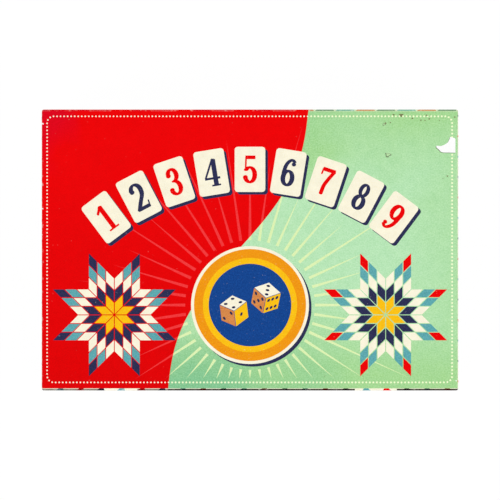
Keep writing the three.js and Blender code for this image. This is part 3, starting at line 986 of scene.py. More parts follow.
def painted_black(look, name):
    """Thin black paint with worn spots."""
    finish = Finish(name)
    worn = finish.noise(1800, 4, roughness=0.7)
    return finish.done(
        base_color=finish.mix(finish.grade(worn, 0.62, 0.72, 0.0, 0.35), look.black, ink("5a4028")),
        roughness=finish.uneven(worn, 0.38, 0.6),
        normal=finish.relief(worn, 0.02 * MM, 0.3),
    )


# Operators

class SHUTBOX_OT_stage(bpy.types.Operator):
    """Adds the plain floor, the soft lamps and the camera over the lid"""

    bl_idname = "shut_the_box.stage"
    bl_label = "Stage"

    # Each lamp's name, place and side in metres, and share of the power
    LAMPS = (
        ("lamp_left", (-1.15, -0.75, 1.25), 1.1, 1.0),
        ("lamp_right", (1.2, -0.5, 1.15), 1.2, 0.85),
        ("lamp_back", (0.1, 1.3, 1.2), 1.3, 0.8),
    )
    LAMPS_AIM = Vector((0, 0, 0.03))
    # Just enough above 1 that the floor's seen part comes out plain white
    WHITE = 1.01

    def execute(self, context):
        look = context.scene.stage_look
        self.add_floor(look)
        self.add_sky(context, look)
        for name, place, side, share_of_power in self.LAMPS:
            self.add_lamp(name, Vector(place), side, look.lamp_power * share_of_power)
        camera = bpy.data.cameras.new("camera")
        camera.sensor_width = 36
        camera.lens = camera.sensor_width * look.camera_height / look.view_width
        camera.clip_end = 50
        holder = add_object("camera", camera)
        holder.location = (0, 0, CAD_HIGH.z + look.camera_height)
        context.scene.camera = holder
        context.scene.view_settings.view_transform = "Standard"
        return {"FINISHED"}

    def add_floor(self, look):
        """A large flat floor, plain white to the camera but for the object's soft shadow."""
        shape = bmesh.new()
        bmesh.ops.create_grid(shape, x_segments=1, y_segments=1, size=look.floor_size / 2)
        floor = add_object("floor", finished(shape, "floor"))
        finish = Finish("floor", base_color=look.floor)
        finish.set(roughness=finish.uneven(finish.noise(40, 2), 0.85, 0.95))
        white = finish.out("ShaderNodeEmission", {"Color": (1, 1, 1), "Strength": self.WHITE})
        seen = finish.times(self.seen_directly(finish), 1 - look.shadow_share)
        both = finish.out("ShaderNodeMixShader", {0: seen, 1: finish.shader.outputs[0], 2: white})
        finish.feed(finish.tree.nodes["Material Output"].inputs[0], both)
        floor.data.materials.append(finish.material)

    def seen_directly(self, sheet):
        """1 for what the camera sees, also in a mirror or through glass."""
        path = sheet.add("ShaderNodeLightPath").outputs
        mirrored = sheet.larger(path["Is Glossy Ray"], path["Is Transmission Ray"])
        return sheet.larger(path["Is Camera Ray"], mirrored)

    def add_sky(self, context, look):
        """An even world, white to the camera and dimmer as a light."""
        world = bpy.data.worlds.new("sky")
        world.use_nodes = True
        context.scene.world = world
        sheet = NodeSheet(world.node_tree)
        strength = sheet.grade(self.seen_directly(sheet), 0.0, 1.0, look.sky, 1.0)
        backdrop = world.node_tree.nodes["Background"]
        sheet.feed(backdrop.inputs["Color"], (1, 1, 1))
        sheet.feed(backdrop.inputs["Strength"], strength)

    def add_lamp(self, name, place, side, power):
        """A soft square lamp turned to the object."""
        lamp = bpy.data.lights.new(name, "AREA")
        lamp.shape = "SQUARE"
        lamp.size = side
        lamp.energy = power
        holder = add_object(name, lamp)
        holder.location = place
        holder.rotation_euler = (place - self.LAMPS_AIM).to_track_quat("Z", "Y").to_euler()


def with_radius(points, radius):
    """Rings of a sheet through points of its profile, all with one corner radius."""
    return [(x, z, radius) for x, z in points]


class SHUTBOX_OT_lid_wrap(bpy.types.Operator):
    """Makes the printed paper over the lid, turned in round its rim"""

    bl_idname = "shut_the_box.lid_wrap"
    bl_label = "Lid paper"

    # How fast a corner tightens over the fold, and its least radius outside and inside
    TIGHTENING = 0.4
    LEAST_OUTSIDE, LEAST_INSIDE = 0.4 * MM, 0.3 * MM

    def execute(self, context):
        look = context.scene.paper_look
        low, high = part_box("lid_wrap")
        wall = CAD_HIGH.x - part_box("base_wrap")[1].x - look.slide_gap
        mesh = sheet_mesh("lid_paper", high.x, high.y, self.profile(look, low.z, wall), look, True)
        piece = hang("lid_paper_sheet", mesh, "lid", "lid_paper", lid_paper(look))
        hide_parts("lid_wrap")
        return {"FINISHED"}

    def profile(self, look, rim, wall):
        """Rings from the lid's top over the fold, down, round the rim, up the hem and back inside."""
        fold, lip, paper, corner = look.fold_radius, look.rim_radius, look.thickness, look.corner_radius
        inner_corner = corner - paper
        over = arc(fold, PAPER_TOP - fold, fold, fold, 90, 180, FOLD_STEPS)
        under = arc(fold, PAPER_TOP - fold, fold - paper, fold - paper, 180, 90, FOLD_STEPS)
        outer_rim = arc(lip, rim + lip, lip, lip, 180, 270, RIM_STEPS)
        inner_rim = arc(wall - lip, rim + lip, lip, lip, 270, 360, RIM_STEPS)
        hem_end = [(wall, rim + look.hem), (wall - paper, rim + look.hem)]
        hem_back = [(wall - paper, rim + lip), (wall - lip, rim + paper)]
        wall_back = [(lip, rim + paper), (paper, rim + lip)]
        return [
            (2 * fold, PAPER_TOP, corner / 2),
            *[(x, z, max(corner - x * self.TIGHTENING, self.LEAST_OUTSIDE)) for x, z in over],
            *with_radius(outer_rim + inner_rim + hem_end + hem_back, corner),
            *with_radius(wall_back, inner_corner),
            *[(x, z, max(inner_corner - (x - paper) * self.TIGHTENING, self.LEAST_INSIDE)) for x, z in under],
        ]


class SHUTBOX_OT_base_wrap(bpy.types.Operator):
    """Makes the paper round the base, turned in over its rim"""

    bl_idname = "shut_the_box.base_wrap"
    bl_label = "Base paper"

    def execute(self, context):
        look = context.scene.paper_look
        low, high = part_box("base_wrap")
        wall = high.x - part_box("right_rail")[1].x - look.tray_gap
        rings = self.profile(look, low.z, high.z, wall)
        mesh = sheet_mesh("base_paper", high.x, high.y, rings, look, False)
        piece = hang("base_paper_sheet", mesh, "base", "base_paper", base_paper(look, high.x, high.y, high.z))
        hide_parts("base_wrap")
        return {"FINISHED"}

    def profile(self, look, bottom, rim, wall):
        """Rings from the hem's lower edge up, over the rim, down the wall and back inside."""
        lip, paper, corner = look.rim_radius, look.thickness, look.corner_radius
        hem_end = [(wall - paper, rim - look.hem), (wall, rim - look.hem)]
        inner_rim = arc(wall - lip, rim - lip, lip, lip, 0, 90, RIM_STEPS)
        outer_rim = arc(lip, rim - lip, lip, lip, 90, 180, RIM_STEPS)
        wall_back = [(paper, bottom), (paper, rim - lip), (lip, rim - paper)]
        hem_back = [(wall - lip, rim - paper), (wall - paper, rim - lip)]
        return [
            *with_radius([*hem_end, *inner_rim, *outer_rim, (0, bottom)], corner),
            *with_radius(wall_back, corner - paper),
            *with_radius(hem_back, corner),
        ]


class SHUTBOX_OT_boards(bpy.types.Operator):
    """Finishes the bare boards, the card spacers and the bottom sheet"""

    bl_idname = "shut_the_box.boards"
    bl_label = "Boards and card"

    def execute(self, context):
        look = context.scene.game_look
        grey = board("greyboard", look.greyboard, ink("6f675b"))
        card = board("white_card", look.card, ink("d8d2c4"), 0.3)
        for name in ("lid_board", "base_board"):
            dress(name, grey)
        for name in ("lid_spacer_left", "lid_spacer_right", "base_bottom_sheet"):
            dress(name, card)
        return {"FINISHED"}


class SHUTBOX_OT_print(bpy.types.Operator):
    """Prints the dotted border, the rays, the stars, the number tiles and the roundel on the lid"""

    bl_idname = "shut_the_box.print"
    bl_label = "Print on the lid"

    TILE_GAP = 4 * MM
    TILE_CORNER = 1.6 * MM
    NUMERAL_SHARE = 0.62
    # The roundel's rings from outside in: how much of its radius each fills, and its ink
    ROUNDEL_RINGS = ((1, "cream"), (0.95, "orange"), (0.8, "yellow"), (0.7, "blue"))
    # Each printed die's place in the roundel's radius, its turn in radians and its faces' pips
    PRINTED_DICE = ((-0.27, -0.1, 0.12, (4, 2, 1)), (0.27, 0.12, -0.2, (3, 5, 6)))
    DIE_SHARE = 0.27
    # A printed die's face and the radius and pitch of its pips, as shares of its side
    FACE_SHARE = 0.96
    PIP_SHARE = 0.1
    PIP_PITCH_SHARE = 0.27

    def execute(self, context):
        look = context.scene.print_look
        paper = context.scene.paper_look
        tints = {
            "cream": paper.cream, "navy": paper.navy, "red": paper.red, "teal": paper.teal,
            "orange": look.orange, "yellow": look.yellow, "blue": look.blue, "tan": look.tan,
        }
        self.inks = {
            name: printed_ink(f"{name}_ink", tint, paper, 0.45 if name == "navy" else 0.3)
            for name, tint in tints.items()
        }
        self.dots(look, paper)
        self.rays(look, paper)
        for side in (-1, 1):
            self.star(look, side)
        self.pictures(look)
        return {"FINISHED"}

    def layer(self, number):
        """The heights of a printed layer's bottom and top."""
        return {"Bottom": PAPER_TOP - INK_SINK, "Top": PAPER_TOP + number * INK_STEP}

    def dots(self, look, paper):
        """A row of dots on a rounded rectangle."""
        recipe = Recipe(
            "border_dots",
            Length=2 * CAD_HIGH.x - look.dot_left_inset - look.dot_right_inset,
            Width=2 * CAD_HIGH.y - look.dot_back_inset - look.dot_front_inset,
            Shift_right=(look.dot_left_inset - look.dot_right_inset) / 2,
            Shift_back=(look.dot_front_inset - look.dot_back_inset) / 2,
            Corner=look.dot_corner,
            Pitch=look.dot_pitch,
            Dot=look.dot_width,
            On_red=look.dot_on_red,
            **self.layer(GROUND_LAYER),
        )
        line = recipe.shape("CurvePrimitiveQuadrilateral", {
            "Width": recipe["Length"], "Height": recipe["Width"],
        })
        line = recipe.moved(line, translation=recipe.vector(recipe["Shift_right"], recipe["Shift_back"]))
        line = recipe.shape("FilletCurve", {
            "Curve": line, "Count": 8, "Radius": recipe["Corner"],
        }, mode="POLY")
        line = recipe.shape("ResampleCurve", {"Curve": line, "Length": recipe["Pitch"]}, mode="LENGTH")
        x, y, _ = recipe.place()
        broad = recipe.grade(beyond_seam(recipe, x, y), 0.0, 0.5 * MM, recipe["On_red"], 1.0)
        dot = recipe.shape("MeshCylinder", {
            "Vertices": 14, "Radius": recipe.over(recipe["Dot"], 2.0), "Depth": recipe.depth(),
        })
        dots = recipe.copies(line, dot, scale=recipe.vector(broad, broad, 1.0))
        dot_ink = two_field_ink("dot_ink", paper.cream, look.dot_on_mint, 0.06, paper)
        hang("border_dots", recipe.make(recipe.printed(dots), [(dot_ink, None)]), "lid", "lid_paper")

    def rays(self, look, paper):
        """Tapering rays round the roundel, each cut off inside the border."""
        recipe = Recipe(
            "rays",
            Rays=look.ray_count,
            Inner=look.roundel_radius + 3 * MM,
            Reach=look.ray_reach,
            Least_share=0.62,
            Shortest=4 * MM,
            Foot=look.ray_width,
            Drop=look.roundel_drop,
            Half_length=CAD_HIGH.x - 5.5 * MM,
            Half_width=CAD_HIGH.y - 6 * MM,
            Seed=7,
            **self.layer(GROUND_LAYER),
        )
        index = recipe.shape("InputIndex")
        turn = recipe.over(recipe.times(index, 2 * math.pi), recipe["Rays"])
        cosine = recipe.calc("COSINE", turn)
        sine = recipe.calc("SINE", turn)
        almost_none = 0.001
        sideways = recipe.larger(recipe.unsigned(cosine), almost_none)
        upward = recipe.larger(recipe.unsigned(sine), almost_none)
        drop = recipe.times(recipe["Drop"], recipe.calc("SIGN", sine))
        to_end = recipe.over(recipe["Half_length"], sideways)
        to_long_side = recipe.over(recipe.plus(recipe["Half_width"], drop), upward)
        chance = recipe.add("FunctionNodeRandomValue", {
            "Min": recipe["Least_share"], "Max": 1.0, "ID": index, "Seed": recipe["Seed"],
        }, data_type="FLOAT").outputs[1]
        reach = recipe.smaller(recipe.times(recipe["Reach"], chance), recipe.smaller(to_end, to_long_side))
        long = recipe.minus(reach, recipe["Inner"])
        foot_y = recipe.minus(recipe.times(sine, recipe["Inner"]), recipe["Drop"])
        foot = recipe.vector(recipe.times(cosine, recipe["Inner"]), foot_y)
        spots = recipe.shape("Points", {"Count": recipe["Rays"], "Position": foot})
        wedge = recipe.shape("MeshCylinder", {"Vertices": 3, "Radius": 1.0, "Depth": recipe.depth()})
        # The three-sided cylinder becomes a wedge one unit long and wide, with its foot on the point
        wedge = recipe.moved(wedge, translation=(0.5, 0, 0))
        wedge = recipe.moved(wedge, scale=(1 / 1.5, 1 / math.sqrt(3), 1))
        rays = recipe.copies(
            spots, wedge,
            rotation=recipe.vector(z=turn),
            scale=recipe.vector(long, recipe["Foot"], 1.0),
            selection=recipe.above(long, recipe["Shortest"]),
        )
        ray_ink = two_field_ink("ray_ink", look.ray_on_red, look.ray_on_mint, 0.5, paper)
        hang("rays", recipe.make(recipe.printed(rays), [(ray_ink, None)]), "lid", "lid_paper")

    def star(self, look, side):
        """An eight-pointed star of small diamonds, in rings of colour from its centre."""
        name = "star_left" if side < 0 else "star_right"
        recipe = Recipe(
            name,
            Arms=8,
            Rows=3,
            Side=look.star_side,
            Shown=look.star_shown,
            Centre=side * look.star_spread,
            Drop=look.star_drop,
            **self.layer(SHADOW_LAYER),
        )
        rows = recipe["Rows"]
        step = recipe.over(2 * math.pi, recipe["Arms"])
        cosine = recipe.calc("COSINE", step)
        sine = recipe.calc("SINE", step)
        index = recipe.shape("InputIndex")
        per_arm = recipe.times(rows, rows)
        in_arm = recipe.calc("FLOORED_MODULO", index, per_arm)
        first = recipe.calc("FLOOR", recipe.over(in_arm, rows))
        second = recipe.calc("FLOORED_MODULO", in_arm, rows)
        turn = recipe.times(recipe.calc("FLOOR", recipe.over(index, per_arm)), step)
        aside = recipe.plus(second, 0.5)
        along = recipe.plus(recipe.plus(first, 0.5), recipe.times(aside, cosine))
        in_first_arm = recipe.vector(
            recipe.times(along, recipe["Side"]), recipe.times(aside, sine, recipe["Side"])
        )
        place = recipe.out("ShaderNodeVectorRotate", {
            "Vector": in_first_arm, "Angle": turn, "Axis": (0, 0, 1),
        }, rotation_type="AXIS_ANGLE")
        spots = recipe.shape("Points", {
            "Count": recipe.times(per_arm, recipe["Arms"]), "Position": place,
        })
        spots = recipe.shape("StoreNamedAttribute", {
            "Geometry": spots, "Name": "ring", "Value": recipe.plus(first, second),
        }, data_type="FLOAT", domain="POINT")
        shown = recipe.times(recipe["Side"], recipe["Shown"])
        tile = recipe.shape("MeshCube", {"Size": recipe.vector(shown, shown, recipe.depth())})
        x, y, z = recipe.place()
        sheared = recipe.vector(recipe.plus(x, recipe.times(y, cosine)), recipe.times(y, sine), z)
        tile = recipe.shape("SetPosition", {"Geometry": tile, "Position": sheared})
        stars = recipe.copies(spots, tile, rotation=recipe.vector(z=turn))
        stars = recipe.printed(stars, recipe["Centre"], recipe.times(recipe["Drop"], -1.0))
        ring = recipe.shape("InputNamedAttribute", {"Name": "ring"}, data_type="FLOAT")
        materials = [(self.inks["cream"], None)]
        for number, tint in enumerate(("yellow", "navy", "cream", "teal", "navy" if side < 0 else "red")):
            materials.append((self.inks[tint], recipe.calc("COMPARE", ring, float(number), 0.25)))
        hang(name, recipe.make(stars, materials), "lid", "lid_paper")

    def pictures(self, look):
        """The number tiles on their arch, and the roundel with two dice."""
        slots = {name: slot for slot, name in enumerate(self.inks)}
        shape = bmesh.new()
        shadow = shift(look.shadow_shift, -look.shadow_shift)
        self.tiles_on_arch(shape, look, shadow, slots)
        self.roundel(shape, look, shadow, slots)
        hang("lid_pictures", finished(shape, "lid_pictures"), "lid", "lid_paper", *self.inks.values())

    def tiles_on_arch(self, shape, look, shadow, slots):
        """Nine number tiles side by side, with their shadows, fanned out along the arch."""
        tile = rounded_outline(look.tile_width / 2, look.tile_height / 2, self.TILE_CORNER, 4)
        spacing = (look.tile_width + self.TILE_GAP) / look.arch_radius
        height = look.tile_height * self.NUMERAL_SHARE
        for number in TILE_NUMBERS:
            turn = (MIDDLE_TILE - number) * spacing
            swing = shift(0, look.arch_rise - look.arch_radius) @ turned(turn)
            place = swing @ shift(0, look.arch_radius)
            add_inked(shape, tile, SHADOW_LAYER, LID_FACE @ shadow @ place, slots["navy"])
            place = LID_FACE @ place
            add_inked(shape, tile, SHAPE_LAYER, place, slots["cream"])
            numeral_ink = slots["red" if number % 2 else "navy"]
            add_numeral(shape, number, height, -INK_SINK, TOP_LAYER * INK_STEP, place, numeral_ink)

    def roundel(self, shape, look, shadow, slots):
        """A disc ringed in three colours, with its shadow and two dice on it."""
        centre = LID_FACE @ shift(0, -look.roundel_drop)
        radius = look.roundel_radius
        add_inked(shape, circle_outline(radius), SHADOW_LAYER, centre @ shadow, slots["navy"])
        for (outer, name), (inner, _) in zip(self.ROUNDEL_RINGS, self.ROUNDEL_RINGS[1:]):
            points, triangles = ring_net(radius * inner, radius * outer)
            add_net(shape, points, triangles, -INK_SINK, SHAPE_LAYER * INK_STEP, centre, slots[name])
        inner, name = self.ROUNDEL_RINGS[-1]
        add_inked(shape, circle_outline(radius * inner, 72), SHAPE_LAYER, centre, slots[name])
        for x, y, turn, numbers in self.PRINTED_DICE:
            place = centre @ shift(x * radius, y * radius) @ turned(turn)
            self.drawn_die(shape, place, radius * self.DIE_SHARE, numbers, slots)

    def drawn_die(self, shape, place, side, numbers, slots):
        """A die drawn as three lozenges with oval pips."""
        right, left, down = [Vector(way) for way in arc(0, 0, side, side, 30, 270, 2)]
        faces = ((right, left, "cream"), (left, down, "tan"), (down, right, "yellow"))
        for (across, along, name), number in zip(faces, numbers):
            corners = [Vector((0, 0)), across, across + along, along]
            middle = (across + along) / 2
            lozenge = [tuple(middle + (corner - middle) * self.FACE_SHARE) for corner in corners]
            add_inked(shape, lozenge, SHAPE_LAYER + 0.5, place, slots[name])
            for column, row in PIP_PLACES[number]:
                spot = middle + (across * column + along * row) * self.PIP_PITCH_SHARE
                pip = [tuple(spot + across * x + along * y) for x, y in circle_outline(self.PIP_SHARE, 12)]
                add_inked(shape, pip, TOP_LAYER, place, slots["navy"])


class SHUTBOX_OT_wear(bpy.types.Operator):
    """Adds the torn patch and the chips with their painted shadows, the scuffs and the specks of dirt on the
    lid
    """

    bl_idname = "shut_the_box.wear"
    bl_label = "Wear on the lid"

    # Corners of the torn patch, and centres and sizes of dirt specks, in millimetres from the lid's centre
    TEAR = (
        (101.8, 57.5), (104.2, 56.9), (104.5, 56.3), (104.5, 49.5), (98.3, 49.6), (97, 50), (96.5, 50.7),
        (94.8, 52.2), (94.8, 53.1), (97, 52.8), (99.1, 53.6), (100.7, 54.8), (101.5, 56.4),
    )
    SPECKS = (
        (76.9, 68.6, 0.95), (73, 68.8, 0.5), (89.8, 68.5, 0.45), (82.6, 66.9, 0.45), (86.9, 66, 0.4),
        (89, 65.9, 0.32), (91.2, 66.7, 0.42), (96.4, 65.9, 0.25), (104.2, 67.6, 0.42), (71.4, 64.8, 0.35),
        (68.9, 64.5, 0.5), (-92, 66.4, 0.2), (38, -64.2, 0.2), (100.4, 37.6, 0.42), (98.2, 36.3, 0.22),
    )
    # Small chips out of the print, each with a painted shadow beside it, and bare scuffs on the lid's edges
    CHIPS = ((70.2, 48.5, 1.45), (68.2, 64, 0.8))
    SCUFFS = ((-105.4, 64.2, 0.5), (-105.5, 21, 0.35), (104.9, -66.5, 0.35))
    # How far the painted shadow shows beside the tear and, as shares of its size, beside a chip
    TEAR_SHADOW = (-0.3 * MM, -0.25 * MM)
    CHIP_SHADOW = (-0.04, -0.12)
    CHIP_MIDDLE = 0.66

    def execute(self, context):
        look = context.scene.print_look
        # The edge material is the painted shadow beside the tear and the chips
        torn, edge, dirt, thin = range(4)
        shape = bmesh.new()
        tear = [(x * MM, y * MM) for x, y in reversed(self.TEAR)]
        # The painted shadow of the tear's lifted edge, below and to the left of it
        add_inked(shape, tear, SHAPE_LAYER, LID_FACE @ shift(*self.TEAR_SHADOW), edge)
        add_inked(shape, tear, TOP_LAYER, LID_FACE, torn)
        for index, (x, y, radius) in enumerate(self.SPECKS):
            self.blot(shape, x, y, radius, index, TOP_LAYER, dirt)
        aside, down = self.CHIP_SHADOW
        for index, (x, y, radius) in enumerate(self.CHIPS, 1):
            # Each chip's painted shadow, a little below it
            self.blot(shape, x + radius * aside, y + radius * down, radius, index, SHAPE_LAYER, edge)
            self.blot(shape, x, y, radius * self.CHIP_MIDDLE, index, TOP_LAYER, thin)
        for index, (x, y, radius) in enumerate(self.SCUFFS, 3):
            self.blot(shape, x, y, radius, index, TOP_LAYER, torn)
        hang(
            "lid_wear", finished(shape, "lid_wear"), "lid", "lid_paper",
            torn_paper("torn_paper", ink("ffffff")),
            # A greenish grey for the painted shadows
            torn_paper("torn_edge", ink("6f8a62")),
            torn_paper("dirt", look.brown),
            torn_paper("thin_print", ink("b5dca2")),
        )
        return {"FINISHED"}

    def blot(self, shape, x, y, radius, index, layer, material):
        """A small uneven spot, a little flattened, that reaches the top of a printed layer."""
        outline = []
        corners, flattening = 14, 0.75
        for corner in range(corners):
            turn = 2 * math.pi * corner / corners
            ragged = radius * (1 + 0.28 * math.sin(3 * turn + index) + 0.14 * math.sin(5 * turn + 2 * index))
            across, along = ragged * math.cos(turn), ragged * flattening * math.sin(turn)
            outline.append(((x + across) * MM, (y + along) * MM))
        add_inked(shape, outline, layer, LID_FACE, material)


class SHUTBOX_OT_tray_wood(bpy.types.Operator):
    """Finishes the tray's rails, cheeks and divider, and its plywood panel"""

    bl_idname = "shut_the_box.tray_wood"
    bl_label = "Tray wood"

    def execute(self, context):
        look = context.scene.game_look
        for seed, name in enumerate(("front_rail", "back_rail", "divider_rail")):
            dress(name, wood(f"wood_{name}", look.wood, look.grain, True, seed))
        for seed, name in enumerate(("left_rail", "right_rail", "left_cheek", "right_cheek"), 5):
            dress(name, wood(f"wood_{name}", look.wood, look.grain, False, seed))
        dress("bottom_panel", wood("plywood", look.ply, toned(look.ply, 0.72), True, 11, 0.0, 0.7))
        return {"FINISHED"}


class SHUTBOX_OT_felts(bpy.types.Operator):
    """Lays the felt in the dice well and in the tile bay"""

    bl_idname = "shut_the_box.felts"
    bl_label = "Felts"

    def execute(self, context):
        look = context.scene.game_look
        cloth = felt_cloth(look)
        for name in ("well_felt", "bay_felt"):
            low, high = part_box(name)
            piece = hang(f"{name}_cloth", self.cloth_mesh(look, name, low, high, cloth), "tray", "felt")
            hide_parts(name)
        return {"FINISHED"}

    def cloth_mesh(self, look, name, low, high, cloth):
        """A slab with a matted top and loose fibres on it."""
        size = high - low
        grid = 1.1 * MM
        recipe = Recipe(
            f"{name}_recipe",
            Length=size.x, Width=size.y, Thickness=size.z,
            Columns=int(size.x / grid), Rows=int(size.y / grid),
            Nap=0.12 * MM,
            Fibres=look.fibres * 1e4,
            Fibre_length=look.fibre_length,
            Fibre_width=0.07 * MM,
            Seed=4,
        )
        base = recipe.shape("MeshCube", {
            "Size": recipe.vector(recipe["Length"], recipe["Width"], recipe["Thickness"]),
            "Vertices X": recipe["Columns"],
            "Vertices Y": recipe["Rows"],
            "Vertices Z": 3,
        })
        slab_top = recipe.over(recipe["Thickness"], 2.0)
        on_top = recipe.above(recipe.place()[2], recipe.times(slab_top, 0.9))
        bumps = recipe.out("ShaderNodeTexNoise", {"Scale": 420.0, "Detail": 4.0})
        dip = recipe.vector(z=recipe.times(bumps, recipe.times(recipe["Nap"], -1.0)))
        base = recipe.shape("SetPosition", {"Geometry": base, "Selection": on_top, "Offset": dip})
        base = recipe.shape("SetShadeSmooth", {"Geometry": base})
        scattered = recipe.shape("DistributePointsOnFaces", {
            "Mesh": base, "Selection": on_top, "Density": recipe["Fibres"], "Seed": recipe["Seed"],
        }, distribute_method="RANDOM")
        fibre = recipe.shape("MeshCone", {
            "Vertices": 3,
            "Radius Top": recipe.over(recipe["Fibre_width"], 3.0),
            "Radius Bottom": recipe.over(recipe["Fibre_width"], 2.0),
            "Depth": recipe["Fibre_length"],
        })
        # The cone stands up, so a fibre that lies down is leant by almost a quarter turn
        lean = recipe.out("FunctionNodeRandomValue", {
            "Min": (1.5, -0.03, 0.0), "Max": (1.64, 0.03, 6.28), "Seed": recipe["Seed"],
        }, data_type="FLOAT_VECTOR")
        both = recipe.add("GeometryNodeJoinGeometry")
        for part in (recipe.copies(scattered, fibre, rotation=lean), base):
            recipe.feed(both.inputs[0], part)
        moved = recipe.moved(both.outputs[0], translation=tuple((low + high) / 2))
        return recipe.make(moved, [(cloth, None)])


class SHUTBOX_OT_rod(bpy.types.Operator):
    """Makes the smooth steel rod that the tiles turn on"""

    bl_idname = "shut_the_box.rod"
    bl_label = "Tile rod"

    def execute(self, context):
        look = context.scene.game_look
        low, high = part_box("tile_rod")
        centre = (low + high) / 2
        radius = (high.z - low.z) / 2
        chamfer = look.rod_chamfer
        stations = (
            (low.x, radius - chamfer), (low.x + chamfer, radius),
            (high.x - chamfer, radius), (high.x, radius - chamfer),
        )
        shape = bmesh.new()
        rings = []
        for x, size in stations:
            outline = circle_outline(size, 40)
            rings.append([shape.verts.new((x, centre.y + y, centre.z + z)) for y, z in outline])
        for first, second in zip(rings, rings[1:]):
            for face in add_sides(shape, first, second):
                face.smooth = True
        shape.faces.new(list(reversed(rings[0])))
        shape.faces.new(rings[-1])
        mesh = finished(shape, "rod")
        mesh.set_sharp_from_angle(angle=math.radians(30))
        piece = hang("steel_rod", mesh, "tray", "rod_steel", brushed_steel(look))
        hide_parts("tile_rod")
        return {"FINISHED"}


class SHUTBOX_OT_tiles(bpy.types.Operator):
    """Finishes the nine wooden tiles and paints a numeral on both faces of each"""

    bl_idname = "shut_the_box.tiles"
    bl_label = "Number tiles"

    def execute(self, context):
        look = context.scene.game_look
        paint = painted_black(look, "numeral_paint")
        for number in TILE_NUMBERS:
            light = toned(look.tile_wood, 1 + 0.05 * math.sin(2.3 * number))
            finish = wood(f"wood_tile_{number}", light, look.tile_grain, False, number + 20)
            dress(f"number_tile_{number}", finish)
            self.paint_numerals(look, number, paint)
        return {"FINISHED"}

    def paint_numerals(self, look, number, paint):
        """One numeral on top, upright when the tile lies, and one below, upright when it stands."""
        low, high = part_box(f"number_tile_{number}")
        tile_length = high.y - low.y
        middle = (low.x + high.x) / 2
        relief = look.numeral_relief
        shape = bmesh.new()
        upper = shift(middle, high.y - look.flat_share * tile_length, high.z)
        under = shift(middle, low.y + look.raised_share * tile_length, low.z) @ turned(math.pi, "X")
        for place in (upper, under):
            add_numeral(shape, number, look.numeral_height, -relief, relief, place, 0, look.numeral_breadth)
        hang(f"numeral_{number}", finished(shape, "numeral"), f"tile_{number}", "tile_wood", paint)


class SHUTBOX_OT_dice(bpy.types.Operator):
    """Makes the two wooden dice, with ball-rounded corners and sunk black pips"""

    bl_idname = "shut_the_box.dice"
    bl_label = "Dice"

    # How each numbered face is turned from straight up, about X and then Y, in quarter turns
    FACE_TURNS = {1: (0, 0), 2: (1, 0), 3: (0, 1), 4: (0, -1), 5: (-1, 0), 6: (2, 0)}
    QUARTER_TURN = math.pi / 2
    # Each die's body, node, heading in radians and quarter turns forward
    DICE = (("first_die", "die_1", 0.45, 0), ("second_die", "die_2", -0.3, 1))

    def execute(self, context):
        look = context.scene.game_look
        dark = toned(look.die, 0.62)
        paint = painted_black(look, "pip_paint")
        for seed, (body, node, heading, tips) in enumerate(self.DICE):
            low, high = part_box(node)
            mesh = self.die_mesh(look, high.z - low.z)
            turn = turned(heading) @ turned(tips * self.QUARTER_TURN, "X")
            mesh.transform(shift(*((low + high) / 2)) @ turn)
            mesh.set_sharp_from_angle(angle=math.radians(28))
            mesh.materials[0] = wood(f"die_wood_{seed + 1}", look.die, dark, bool(seed), seed + 40, 0.2, 0.8)
            mesh.materials[1] = paint
            piece = hang(f"{node}_wood", mesh, body, "die_wood")
            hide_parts(node)
        return {"FINISHED"}

    def die_mesh(self, look, side):
        """A cube cut to a ball, with pips cut out of its faces."""
        sphere = bmesh.new()
        bmesh.ops.create_uvsphere(sphere, u_segments=96, v_segments=48, radius=look.die_roundness)
        blank = self.cutter("die_ball", sphere, 0)
        cube = bmesh.new()
        bmesh.ops.create_cube(cube, size=side)
        block = self.cutter("die_block", cube, 0)
        pips = bmesh.new()
        depth = look.pip_depth
        radius = (look.pip_radius ** 2 + depth ** 2) / (2 * depth)
        for number, (turn_x, turn_y) in self.FACE_TURNS.items():
            face = turned(turn_y * self.QUARTER_TURN, "Y") @ turned(turn_x * self.QUARTER_TURN, "X")
            for across, along in PIP_PLACES[number]:
                spot = shift(across * look.pip_pitch, along * look.pip_pitch, side / 2 + radius - depth)
                bmesh.ops.create_uvsphere(
                    pips, u_segments=28, v_segments=20, radius=radius, matrix=face @ spot
                )
        drill = self.cutter("die_pips", pips, 1)
        for other, operation in ((block, "INTERSECT"), (drill, "DIFFERENCE")):
            cut = blank.modifiers.new(operation, "BOOLEAN")
            cut.object = other
            cut.operation = operation
            cut.solver = "EXACT"
            cut.material_mode = "TRANSFER"
        mesh = plain_mesh(blank)
        for spare in (blank, block, drill):
            bpy.data.objects.remove(spare)
        for face in mesh.polygons:
            face.use_smooth = True
        return mesh

    def cutter(self, name, shape, material):
        """An object for the cutting, whose faces all carry one of two stand-in materials."""
        piece = add_object(name, finished(shape, name))
        for stand_in in ("die_face", "die_pip"):
            piece.data.materials.append(bpy.data.materials.get(stand_in) or bpy.data.materials.new(stand_in))
        for face in piece.data.polygons:
            face.material_index = material
        return piece


